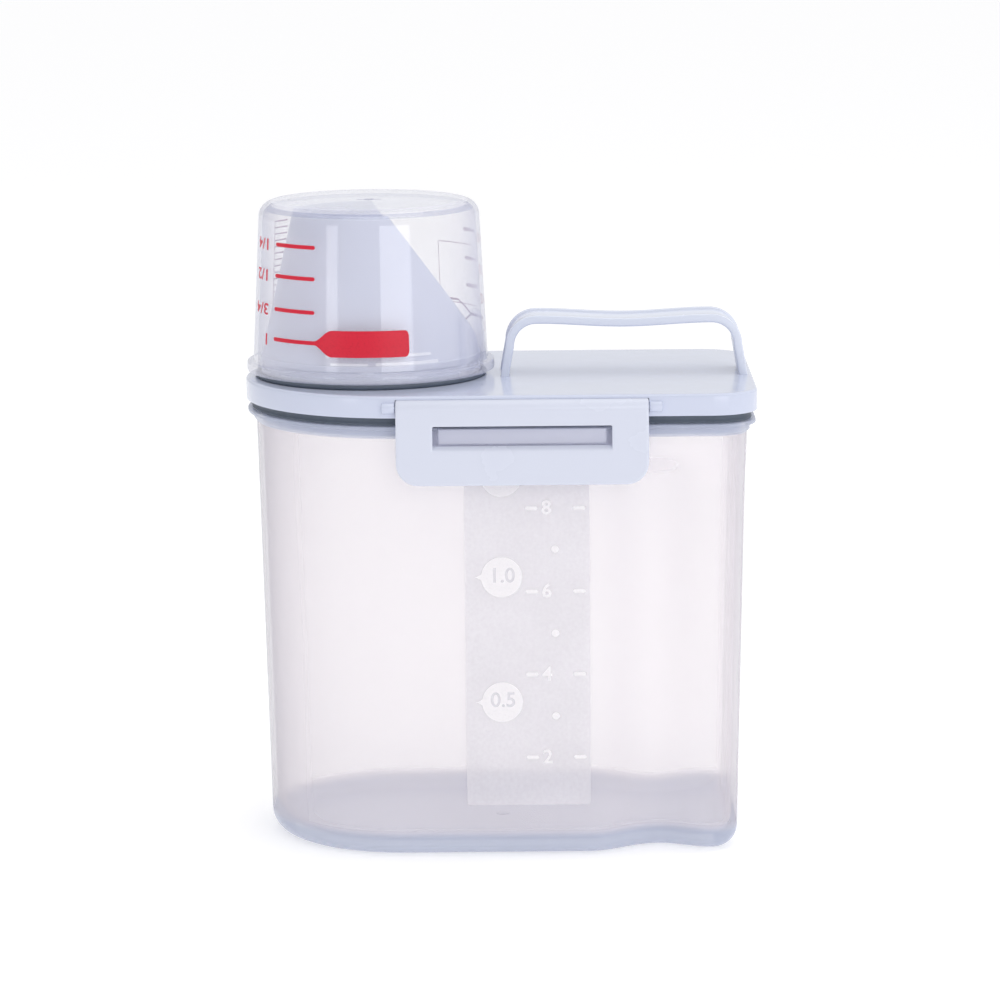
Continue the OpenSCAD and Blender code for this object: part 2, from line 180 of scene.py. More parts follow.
class Graph:
    """The node tree of one material or world."""

    def __init__(self, tree: bpy.types.NodeTree) -> None:
        """Starts on an emptied tree."""
        self.tree = tree
        tree.nodes.clear()

    def node(self, kind: str, settings: Mapping[str, Any] | None = None,
             inputs: Mapping[int | str, Any] | None = None, output: int | str = 0) -> Value:
        """Adds a node, sets it up and fills its sockets.

        Args:
            kind: The node's type.
            settings: Properties of the node, which are set before its sockets.
            inputs: Sockets by name or number, each with a Value to link or a constant.
            output: The output to hand back, by name or number.

        Returns:
            The chosen output.
        """
        node = self.tree.nodes.new(kind)
        for name, setting in (settings or {}).items():
            setattr(node, name, setting)
        for name, value in (inputs or {}).items():
            socket = node.inputs[name]
            if isinstance(value, Value):
                self.tree.links.new(value.socket, socket)
            elif isinstance(value, tuple) and len(value) == 3 and socket.type == "RGBA":
                socket.default_value = (*value, 1.0)
            else:
                socket.default_value = value
        return Value(self, node.outputs[output] if len(node.outputs) else None)

    def mix(self, share: Value | float, first: Any, second: Any) -> Value:
        """Mixes two colours.

        Args:
            share: 0 for the first colour, 1 for the second.
            first: A colour or its link.
            second: A colour or its link.

        Returns:
            The mixed colour.
        """
        inputs = {0: share, 6: first, 7: second}
        return self.node("ShaderNodeMix", {"data_type": "RGBA"}, inputs, 2)

    def place(self) -> Value:
        """The point on the piece, in metres in the piece's own frame."""
        return self.node("ShaderNodeTexCoord", output="Object")

    def part(self, vector: Value, axis: str) -> Value:
        """One of the X, Y and Z parts of a vector."""
        return self.node("ShaderNodeSeparateXYZ", None, {0: vector}, axis)

    def noise(self, scale: float, detail: float = 2.0, stretch: Point = (1, 1, 1)) -> Value:
        """Soft noise over the piece.

        Args:
            scale: Spots per metre.
            detail: Octaves of finer noise.
            stretch: How much closer the spots lie along X, Y and Z.

        Returns:
            The noise, from 0 to 1.
        """
        where = self.node("ShaderNodeMapping", None, {"Vector": self.place(), "Scale": stretch})
        inputs = {"Vector": where, "Scale": scale, "Detail": detail}
        return self.node("ShaderNodeTexNoise", None, inputs)

    def facing(self, blend: float) -> Value:
        """0 where the surface faces the eye, 1 at its edges."""
        return self.node("ShaderNodeLayerWeight", None, {"Blend": blend}, "Facing")

    def passing_light(self) -> Value:
        """1 for light on its way to what stands behind, which milky plastic lets through.

        Returns:
            1 on shadow and on diffuse rays, 0 on others.
        """
        path = self.node("ShaderNodeLightPath", output="Is Shadow Ray")
        bounced = self.node("ShaderNodeLightPath", output="Is Diffuse Ray")
        return path + bounced

    def bump(self, height: Value, depth: float, strength: float = 1.0) -> Value:
        """A bumped normal.

        Args:
            height: The height, from 0 to 1.
            depth: How deep 1 is, in metres.
            strength: How much of the bump shows.

        Returns:
            The normal.
        """
        inputs = {"Height": height, "Distance": depth, "Strength": strength}
        return self.node("ShaderNodeBump", None, inputs)


@dataclass(frozen=True)
class Finish:
    """What every finish has: a name, and a Principled shader with these constants."""

    name: str
    colour: Colour
    roughness: float = 0.3
    specular: float = 0.5
    coat: float = 0.0
    coat_roughness: float = 0.08

    def dress(self, graph: Graph) -> dict[str, Any]:
        """The sockets that change over the surface, by name."""
        return {}

    def cover(self, graph: Graph, shader: Value) -> Value:
        """The shader with whatever lies over it."""
        return shader

    def material(self) -> bpy.types.Material:
        """Builds the material, or finds it if it is already there.

        Returns:
            The material.
        """
        found = bpy.data.materials.get(self.name)
        if found:
            return found
        made = bpy.data.materials.new(self.name)
        made.use_nodes = True
        graph = Graph(made.node_tree)
        sockets = {"Base Color": self.colour, "Roughness": self.roughness,
                   "Specular IOR Level": self.specular, "Coat Weight": self.coat,
                   "Coat Roughness": self.coat_roughness}
        sockets.update(self.dress(graph))
        shader = self.cover(graph, graph.node("ShaderNodeBsdfPrincipled", None, sockets))
        graph.node("ShaderNodeOutputMaterial", None, {"Surface": shader})
        made.diffuse_color = (*self.colour, 1.0)
        return made


@dataclass(frozen=True)
class MouldedPlastic(Finish):
    """Opaque moulded plastic: a faint flow in its colour, a fine skin and handled gloss."""

    shade: Colour = (0.5, 0.5, 0.6)
    variation: float = 0.25
    wear: float = 0.06
    skin_depth: float = 0.0000015

    def dress(self, graph: Graph) -> dict[str, Any]:
        """Colour, roughness and skin that vary over the piece.

        Args:
            graph: The material's graph.

        Returns:
            The sockets that change over the surface, by name.
        """
        flow = graph.noise(14.0, 3.0, (1, 1, 1.6)).between(0.3, 0.75)
        handled = graph.noise(60.0, 4.0).between(0.35, 0.8)
        skin = graph.noise(2600.0, 2.0)
        return {
            "Base Color": graph.mix(flow * self.variation, self.colour, self.shade),
            "Roughness": handled * self.wear + (self.roughness - self.wear / 2),
            "Normal": graph.bump(skin, self.skin_depth, 0.5),
        }


@dataclass(frozen=True)
class MilkyPlastic(Finish):
    """Translucent moulded plastic: milky walls that turn denser at their edges, and darker and
    bluer there; the darker edge colour is painted shade.

    It is denser and darker again below floor_level and above collar_level, where the walls are
    thicker; near the floor the darker tint is also painted shade, standing in for the shadow under
    the bin. floor_level and collar_level are heights in metres. A piece with no floor_level has one
    density throughout.
    """

    # Edge colour: painted shade where the wall turns edge-on
    edge: Colour = (0.6, 0.65, 0.75)
    density: float = 0.3
    edge_density: float = 0.8
    passing: float = 0.6
    drift: float = 0.04
    gloss: float = 0.0
    edge_gloss: float = 0.25
    gloss_roughness: float = 0.05
    flow_depth: float = 0.00002
    # Tint where the plastic is thicker; near the floor it also paints the shade under the bin
    thick_and_shade_tint: Colour = (0.6, 0.65, 0.75)
    floor_level: float = 0.0
    floor_density: float = 0.0
    collar_level: float = 0.0
    collar_density: float = 0.0

    def dress(self, graph: Graph) -> dict[str, Any]:
        """Density by angle and height, with faint flow lines down the walls.

        Args:
            graph: The material's graph.

        Returns:
            The sockets that change over the surface, by name.
        """
        # Denser towards the edges, where the path through the wall is longer; the colour there runs
        # to the darker edge colour, which is painted shade
        rim = graph.facing(0.5) ** 2
        flow = graph.noise(30.0, 3.0, (1, 1, 0.12))
        cloud = graph.noise(9.0, 2.0).between(0.25, 0.8)
        alpha = (rim * (self.edge_density - self.density)
                 + (flow * self.drift + (self.density - self.drift / 2)))
        tint = graph.mix(rim, self.colour, self.edge)
        # Denser and darker near the floor and the collar, where the plastic is thicker; near the
        # floor this is also painted shade from the bin's own shadow
        if self.floor_level:
            height = graph.part(graph.place(), "Z")
            low = 1 - height.between(self.floor_level * 0.6, self.floor_level)
            high = height.between(self.collar_level - 0.0003, self.collar_level)
            alpha = alpha + low * self.floor_density + high * self.collar_density
            tint = graph.mix(low + high, tint, self.thick_and_shade_tint)
        return {
            "Base Color": tint,
            "Alpha": alpha * (1 - graph.passing_light() * self.passing),
            "Roughness": cloud * 0.05 + (self.roughness - 0.02),
            "Normal": graph.bump(flow, self.flow_depth, 0.3),
        }

    def cover(self, graph: Graph, shader: Value) -> Value:
        """A clear gloss over the milky body, stronger at its edges.

        Args:
            graph: The material's graph.
            shader: The milky body.

        Returns:
            The body with its gloss, or the body alone.
        """
        if not self.gloss:
            return shader
        rim = graph.facing(0.5) ** 5
        share = (rim * self.edge_gloss + self.gloss) * (1 - graph.passing_light())
        shine = graph.node("ShaderNodeBsdfAnisotropic", None, {"Roughness": self.gloss_roughness})
        return graph.node("ShaderNodeMixShader", None, {0: share, 1: shader, 2: shine})


@dataclass(frozen=True)
class FrostedFilm(Finish):
    """Thin frosted film with a fine grain."""

    density: float = 0.5
    grain: float = 0.08
    grain_depth: float = 0.00003
    pale: float = 1.05

    def dress(self, graph: Graph) -> dict[str, Any]:
        """Grain in colour, density and skin.

        Args:
            graph: The material's graph.

        Returns:
            The sockets that change over the surface, by name.
        """
        grain = graph.noise(900.0, 2.0)
        cloud = graph.noise(40.0, 3.0).between(0.3, 0.7)
        pale = tuple(min(1.0, c * self.pale) for c in self.colour)
        return {
            "Base Color": graph.mix(cloud, self.colour, pale),
            "Alpha": grain * self.grain + (self.density - self.grain / 2),
            "Normal": graph.bump(grain, self.grain_depth, 0.6),
        }


@dataclass(frozen=True)
class PrintInk(Finish):
    """Screen-printed ink with small uneven spots."""

    shade: Colour = (0.5, 0.5, 0.5)
    density: float = 1.0
    spotting: float = 0.3
    thinning: float = 0.06
    dulling: float = 0.1

    def dress(self, graph: Graph) -> dict[str, Any]:
        """Ink that lies unevenly.

        Args:
            graph: The material's graph.

        Returns:
            The sockets that change over the surface, by name.
        """
        spots = graph.noise(1500.0, 3.0).between(0.45, 0.8)
        return {
            "Base Color": graph.mix(spots * self.spotting, self.colour, self.shade),
            "Alpha": self.density - spots * self.thinning,
            "Roughness": spots * self.dulling + self.roughness,
        }


@dataclass(frozen=True)
class SealRubber(Finish):
    """Soft seal with a fine matt skin."""

    dusting: float = 0.35
    dulling: float = 0.12
    skin_depth: float = 0.00001

    def dress(self, graph: Graph) -> dict[str, Any]:
        """Dusty patches and a fine skin.

        Args:
            graph: The material's graph.

        Returns:
            The sockets that change over the surface, by name.
        """
        dust = graph.noise(120.0, 4.0).between(0.4, 0.8)
        dusty = tuple(c * 1.5 + 0.01 for c in self.colour)
        return {
            "Base Color": graph.mix(dust * self.dusting, self.colour, dusty),
            "Roughness": dust * self.dulling + self.roughness,
            "Normal": graph.bump(graph.noise(1800.0, 2.0), self.skin_depth, 0.6),
        }


@dataclass(frozen=True)
class FloorPaper(Finish):
    """Pale studio paper that glows a little, as if lit from below."""

    shade: Colour = (0.95, 0.95, 0.96)
    glow: float = 0.2

    def dress(self, graph: Graph) -> dict[str, Any]:
        """A faint tooth, and the glow.

        Args:
            graph: The material's graph.

        Returns:
            The sockets that change over the surface, by name.
        """
        tooth = graph.noise(400.0, 2.0)
        return {
            "Base Color": graph.mix(tooth, self.colour, self.shade),
            "Emission Color": (1.0, 1.0, 1.0),
            "Emission Strength": self.glow,
        }


# The finishes: a screen colour, roughness and specular level each, and what is its own
# The container's darker edge colour is painted shade; its darker tint near the floor is partly
# thicker plastic, partly painted shade
CONTAINER_CLEAR = MilkyPlastic("container_clear", linear(249, 241, 246), 0.22, 0.5,
                               edge=linear(168, 165, 178), density=0.24, edge_density=0.7,
                               thick_and_shade_tint=linear(188, 194, 214), floor_level=0.010,
                               floor_density=0.42, collar_level=0.1452, collar_density=0.25)
CATCH_CLEAR = MilkyPlastic("catch_clear", linear(206, 208, 226), 0.25, 0.5,
                           edge=linear(190, 194, 216), density=0.8, edge_density=0.9)
CUP_CLEAR = MilkyPlastic("cup_clear", linear(242, 238, 247), 0.1, 0.7,
                         edge=linear(182, 188, 220), density=0.08, edge_density=0.6,
                         passing=0.85, gloss=0.045)
# Painted reflection: the flat end is denser and whiter, standing in for the bright backdrop
# mirrored in it
CUP_END_REFLECTION = MilkyPlastic("cup_end", linear(236, 236, 246), 0.12, 0.3,
                       edge=linear(232, 234, 247), density=0.3, edge_density=0.62,
                       passing=0.9)
# Painted shade: a darker, denser finish for the cup's inner bend, standing in for the dark line the
# thick bend shows
CUP_BEND_SHADE = MilkyPlastic("cup_bend_shade", linear(170, 176, 204), 0.15, 0.6,
                        edge=linear(132, 142, 180), density=0.4, edge_density=0.9,
                        passing=0.85)
LID_PLASTIC = MouldedPlastic("lid_plastic", linear(206, 212, 232), 0.16, 0.5, 0.25,
                             shade=linear(204, 210, 231))
LATCH_PLASTIC = MouldedPlastic("latch_plastic", linear(216, 220, 235), 0.26, 0.45, 0.0,
                               shade=linear(214, 218, 234))
STRAP_PLASTIC = MouldedPlastic("strap_plastic", linear(223, 228, 242), 0.26, 0.45, 0.0,
                               shade=linear(221, 227, 241))
SPOUT_PLASTIC = MouldedPlastic("spout_plastic", linear(201, 206, 227), 0.35, 0.4, 0.0,
                               shade=linear(198, 204, 226))
# Painted highlight: the collar ribs are lighter than the spout to show the bright bands along them
SPOUT_RIB_HIGHLIGHT = MouldedPlastic("spout_rib_highlight", linear(234, 237, 249), 0.3, 0.4, 0.0,
                           shade=linear(231, 235, 248))
PIN_PLASTIC = MouldedPlastic("pin_plastic", linear(205, 210, 222), 0.35, 0.4, 0.0,
                             shade=linear(195, 202, 216))
SEAL_RUBBER = SealRubber("seal_rubber", linear(88, 97, 110), 0.5, 0.35)
LABEL_FILM = FrostedFilm("label_film", linear(240, 237, 243), 0.5, 0.3, density=0.36)
LABEL_INK = PrintInk("label_ink", linear(253, 250, 253), 0.5, 0.3, shade=linear(246, 246, 250),
                     density=0.85)
DISC_INK = PrintInk("disc_ink", linear(232, 230, 238), 0.5, 0.3, shade=linear(226, 224, 233),
                    density=0.5)
RED_INK = PrintInk("red_ink", linear(214, 16, 50), 0.35, 0.4, shade=linear(192, 10, 44))
FAR_INK = PrintInk("far_ink", linear(150, 70, 130), 0.4, 0.4, shade=linear(136, 60, 122),
                   density=0.85)
FLOOR_PAPER = FloorPaper("floor_paper", linear(252, 252, 253), 0.9, 0.1)


# Meshes


class Solid:
    """A closed mesh that is skinned from rings of points in millimetres."""

    def __init__(self) -> None:
        """Starts empty."""
        self.mesh = bmesh.new()

    def skin(self, rings: Sequence[Ring], wrap: bool = False, caps: bool = False) -> "Solid":
        """Lays faces between rings that have the same number of points.

        Args:
            rings: The rings in order.
            wrap: Joins the last ring back to the first.
            caps: Closes the first and the last ring with a flat face.

        Returns:
            This solid.
        """
        rows = [[self.mesh.verts.new([c * MM for c in p]) for p in ring] for ring in rings]
        count = len(rows[0])
        pairs = list(zip(rows, rows[1:])) + ([(rows[-1], rows[0])] if wrap else [])
        for low, high in pairs:
            for i in range(count):
                j = (i + 1) % count
                self.mesh.faces.new((low[i], low[j], high[j], high[i]))
        if caps:
            self.mesh.faces.new(list(reversed(rows[0])))
            self.mesh.faces.new(rows[-1])
        return self

    def make(self, name: str, finish: Finish, sharp: float = 32.0) -> bpy.types.Object:
        """Turns the mesh into an object.

        Args:
            name: The object's name.
            finish: Its finish.
            sharp: Edges that turn more than this, in degrees, stay sharp.

        Returns:
            The object.
        """
        bmesh.ops.remove_doubles(self.mesh, verts=self.mesh.verts, dist=MERGE * MM)
        bmesh.ops.recalc_face_normals(self.mesh, faces=self.mesh.faces)
        data = bpy.data.meshes.new(name)
        self.mesh.to_mesh(data)
        self.mesh.free()
        return piece(name, data, finish, sharp)


def piece(name: str, data: bpy.types.Mesh, finish: Finish, sharp: float = 32.0) -> bpy.types.Object:
    """Links a mesh into the scene as a smooth-shaded object.

    Args:
        name: The object's name.
        data: Its mesh.
        finish: Its finish.
        sharp: Edges that turn more than this, in degrees, stay sharp.

    Returns:
        The object.
    """
    data.polygons.foreach_set("use_smooth", [True] * len(data.polygons))
    data.set_sharp_from_angle(angle=math.radians(sharp))
    data.materials.clear()
    data.materials.append(finish.material())
    made = bpy.data.objects.new(name, data)
    bpy.context.scene.collection.objects.link(made)
    return made


def paint(target: bpy.types.Object, finish: Finish,
          chosen: Callable[[bpy.types.MeshPolygon], bool]) -> None:
    """Gives some faces of an object another finish.

    Args:
        target: The object.
        finish: The finish.
        chosen: Says whether a face gets it.
    """
    target.data.materials.append(finish.material())
    index = len(target.data.materials) - 1
    for face in target.data.polygons:
        if chosen(face):
            face.material_index = index


def bake(target: bpy.types.Object) -> None:
    """Applies every modifier of an object to its mesh.

    Args:
        target: The object.
    """
    shown = target.evaluated_get(bpy.context.evaluated_depsgraph_get())
    data = bpy.data.meshes.new_from_object(shown)
    target.modifiers.clear()
    old = target.data
    target.data = data
    bpy.data.meshes.remove(old)


def cut(target: bpy.types.Object, *cutters: bpy.types.Object) -> None:
    """Takes cutters away from an object, and removes them.

    Args:
        target: The object to cut.
        cutters: Closed objects that are used up.
    """
    for cutter in cutters:
        modifier = target.modifiers.new("cut", "BOOLEAN")
        modifier.operation = "DIFFERENCE"
        modifier.solver = "EXACT"
        modifier.object = cutter
    bake(target)
    for cutter in cutters:
        bpy.data.objects.remove(cutter)


def soften(target: bpy.types.Object, width: float, sharp: float) -> None:
    """Rounds the sharp edges of an object.

    Args:
        target: The object.
        width: Width of the rounding in millimetres.
        sharp: Edges that turn more than this, in degrees, are rounded.
    """
    bevel = target.modifiers.new("bevel", "BEVEL")
    bevel.width = width * MM
    bevel.segments = SOFTEN_STEPS
    bevel.limit_method = "ANGLE"
    bevel.angle_limit = math.radians(sharp)
    even = target.modifiers.new("even", "WEIGHTED_NORMAL")
    even.keep_sharp = True
    bake(target)
    target.data.polygons.foreach_set("use_smooth", [True] * len(target.data.polygons))


def join(name: str, parts: Sequence[bpy.types.Object]) -> bpy.types.Object:
    """Joins objects of any finish into one.

    Args:
        name: The joined object's name.
        parts: The objects, which are used up.

    Returns:
        The joined object.
    """
    whole = parts[0]
    with bpy.context.temp_override(active_object=whole, selected_editable_objects=list(parts)):
        bpy.ops.object.join()
    whole.name = name
    return whole


def mount(made: bpy.types.Object, body: Body, slot: Slot, *nodes: str) -> bpy.types.Object:
    """Puts a piece on its body and hides the nodes that it stands for.

    Args:
        made: The piece.
        body: The body that it rides on.
        slot: Not used.
        nodes: The nodes that it replaces.

    Returns:
        The piece.
    """
    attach(made, body.value)
    if nodes:
        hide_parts(*nodes)
    LOG.info("%s: %d faces on %s", made.name, len(made.data.polygons), body.value)
    return made


def circle(x: float, radius: float, z: float, count: int = CIRCLE_SIDES) -> Ring:
    """A level circle around an upright axis at X.

    Args:
        x: The axis.
        radius: The radius.
        z: The height.
        count: The number of points.

    Returns:
        The points, anticlockwise from above.
    """
    turns = [2 * math.pi * i / count for i in range(count)]
    return [(x + radius * math.cos(t), radius * math.sin(t), z) for t in turns]


def lathe(x: float, profile: Sequence[Pair], count: int = CIRCLE_SIDES) -> list[Ring]:
    """Rings around an upright axis for a profile of (radius, height) pairs."""
    return [circle(x, max(radius, LEAST_RING), z, count) for radius, z in profile]


def half_chord(radius: float, away: float) -> float:
    """Half a circle's width at a distance from its middle, and a little at its very ends."""
    return math.sqrt(max(radius ** 2 - away ** 2, LEAST_CHORD_SQUARED))


def arc(centre: Pair, radius: float, first: float, last: float, steps: int) -> list[Pair]:
    """Points along a flat arc.

    Args:
        centre: The arc's centre.
        radius: Its radius.
        first: The first angle in degrees.
        last: The last angle in degrees.
        steps: The number of steps.

    Returns:
        The points.
    """
    return [(centre[0] + radius * math.cos(math.radians(a)),
             centre[1] + radius * math.sin(math.radians(a)))
            for a in spaced(first, last, steps)]


def rod(centre: Point, radius: float, length: float, ends: Sequence[Pair]) -> list[Ring]:
    """Rings of a round bar along X, with both ends eased alike.

    Args:
        centre: The bar's middle.
        radius: Its radius.
        length: Its length.
        ends: The rings from an end on: how far each lies inside the radius, and from the end.

    Returns:
        The rings, to be capped.
    """
    start = centre[0] - length / 2
    places = [*ends, *((inset, length - x) for inset, x in reversed(ends))]
    last = 360 - 360 / ROD_SIDES
    return [[(start + x, centre[1] + y, centre[2] + z)
             for y, z in arc((0, 0), radius - inset, 0, last, ROD_SIDES - 1)]
            for inset, x in places]


def rounded_box(centre: Point, size: Point, radius: float) -> list[Ring]:
    """Rings of a box whose edges are all rounded, stacked along Z.

    Args:
        centre: The box's centre.
        size: Its size along X, Y and Z.
        radius: The rounding.

    Returns:
        The rings, to be capped.
    """
    rings = []
    half = size[2] / 2
    for inset, z in [*arc((0, -half + radius), radius, 270, 360, 4),
                     *arc((0, half - radius), radius, 0, 90, 4)]:
        shrink = radius - inset
        rings.append([(centre[0] + x, centre[1] + y, centre[2] + z) for x, y in
                      rounded_outline(size[0] / 2 - shrink, size[1] / 2 - shrink,
                                      max(radius - shrink, LEAST_ROUND))])
    return rings


def rounded_outline(half_x: float, half_y: float, radius: float, steps: int = 4,
                    sides: int = 1, upper: float | None = None) -> list[Pair]:
    """A flat rectangle with round corners, anticlockwise from its lower right corner.

    Args:
        half_x: Half its width.
        half_y: Half its height.
        radius: The corner radius.
        steps: Steps along each corner.
        sides: Steps along each side.
        upper: Radius of the two upper corners, if it is another.

    Returns:
        The points.
    """
    points: list[Pair] = []
    high = radius if upper is None else upper
    corners = [(half_x - radius, -half_y + radius, radius, -90),
               (half_x - high, half_y - high, high, 0),
               (-half_x + high, half_y - high, high, 90),
               (-half_x + radius, -half_y + radius, radius, 180)]
    for i, (x, y, size, turn) in enumerate(corners):
        points += arc((x, y), size, turn, turn + 90, steps)
        ahead = corners[(i + 1) % 4]
        start = points[-1]
        end = arc(ahead[:2], ahead[2], ahead[3], ahead[3], 1)[0]
        points += [(start[0] + (end[0] - start[0]) * s, start[1] + (end[1] - start[1]) * s)
                   for s in spaced(0, 1, sides)[1:-1]]
    return points


@dataclass
class Bin:
    """Sizes and places that the pieces share, in millimetres."""

    # The container
    rim_length: float = 167.4
    rim_depth: float = 101.6
    rim_height: float = 149.5
    wall: float = 2.0
    floor: float = 3.5
    draft: float = 1.3
    corner: float = 12.0
    foot_radius: float = 7.5
    floor_radius: float = 9.0
    # Its hand grips
    grip_depth: float = 10.6
    grip_end_depth: float = 4.7
    grip_start: float = 30.5
    grip_middle: float = 53.5
    grip_spread: float = 0.15
    grip_drop: float = 6.0
    grip_fade: float = 18.0
    # The flange at its rim, and the collar below
    flange_out: float = 2.9
    flange: float = 1.4
    collar: float = 2.5
    collar_out: float = 0.9
    # The lid
    lid_overhang: float = 0.5
    band: float = 7.4
    band_lap: float = 0.4
    plate: float = 2.4
    # The two seals, and the gap where one part sits on another
    gasket: float = 3.1
    ring: float = 1.8
    seat: float = 0.3
    # The cup
    cup_radius: float = 40.4
    cup_end_radius: float = 37.9
    cup_height: float = 58.3
    cup_wall: float = 1.4
    cup_flange_out: float = 2.2
    cup_edge_gap: float = 0.5
    cup_room: float = 1.2
    # The latches and their hinge rolls
    latch_x: float = 7.7
    latch_length: float = 84.6
    latch_thickness: float = 2.2
    roll_radius: float = 2.8
    lip: float = 0.9
    # Limits of the outline, and how finely its slope is felt
    least_corner: float = 1.5
    grip_end_gap: float = 0.2
    probe: float = 0.05

    def __post_init__(self) -> None:
        """Works out the places that follow from the sizes."""
        self.half_depth = self.rim_depth / 2
        self.round_x = -self.rim_length / 2 + self.half_depth
        self.flange_foot = self.rim_height - self.flange
        self.collar_foot = self.flange_foot - self.collar
        self.gasket_foot = self.rim_height + self.seat
        self.gasket_top = self.gasket_foot + self.gasket
        self.lid_foot = self.gasket_top - self.band_lap
        self.lid_top = self.lid_foot + self.band
        self.plate_foot = self.lid_top - self.plate
        self.lid_out = self.flange_out + self.lid_overhang
        self.cup_x = (-self.rim_length / 2 - self.lid_out + self.cup_edge_gap
                      + self.cup_radius + self.cup_flange_out)
        self.ring_top = self.lid_top + self.ring
        self.cup_foot = self.ring_top + self.seat
        self.cup_top = self.cup_foot + self.cup_height
        self.cup_inner = self.cup_radius - self.cup_wall
        self.latch_out = self.lid_out + self.seat
        self.hinge_y = self.half_depth + self.latch_out + self.latch_thickness - self.roll_radius
        self.hinge_z = self.lid_top - self.lip - self.seat - self.roll_radius

    def taper(self, z: float) -> float:
        """How far the tapered wall lies inside the rim's outline at height z."""
        return (self.rim_height - z) * math.tan(math.radians(self.draft))

    def grip_share(self, z: float) -> float:
        """Share of the hand grip's depth at height z."""
        return ease((self.rim_height - self.grip_drop - z) / self.grip_fade)

    def grip_at(self, x: float, start: float, end: float) -> float:
        """Depth of the full hand grip.

        Args:
            x: Where along the wall.
            start: Where the hollow starts.
            end: Where it ends.

        Returns:
            The depth.
        """
        if x <= self.grip_middle:
            return self.grip_depth * ease((x - start) / (self.grip_middle - start))
        rest = self.grip_depth - self.grip_end_depth
        return self.grip_depth - rest * ease((x - self.grip_middle) / (end - self.grip_middle))

    def outline(self, out: float, z: float, inset: float = 0.0, share: float = 0.0) -> Ring:
        """The bin's plan, anticlockwise from the middle of its round end.

        Args:
            out: How far out from the wall, square to it.
            z: The height that the points get.
            inset: How far the wall itself lies inside its outline at the rim.
            share: Share of the hand grips' depth.

        Returns:
            The points.
        """
        side_y = -self.half_depth + inset
        end_x = self.rim_length / 2 + out - inset
        end_y = side_y - out + share * self.grip_end_depth
        corner = max(self.corner + out - inset, self.least_corner)
        start = self.grip_start - self.grip_spread * inset
        end = end_x - corner - self.grip_end_gap
        flat = arc((self.round_x, 0.0), self.half_depth + out - inset, 180, 270, 40)
        flat += [(x, side_y - out) for x in spaced(self.round_x, start, 8)[1:-1]]
        for x in spaced(start, end, 34):
            rise = (self.grip_at(x + self.probe, start, end)
                    - self.grip_at(x - self.probe, start, end))
            slope = share * rise / (2 * self.probe)
            size = math.hypot(1, slope)
            flat.append((x + out * slope / size,
                         side_y + share * self.grip_at(x, start, end) - out / size))
        flat += arc((end_x - corner, end_y + corner), corner, -90, 0, 12)
        flat += [(end_x, (end_y + corner) * (1 - s)) for s in spaced(0, 1, 4)[1:]]
        mirrored = [(x, -y) for x, y in reversed(flat[1:-1])]
        return [(x, y, z) for x, y in flat + mirrored]


# Pieces


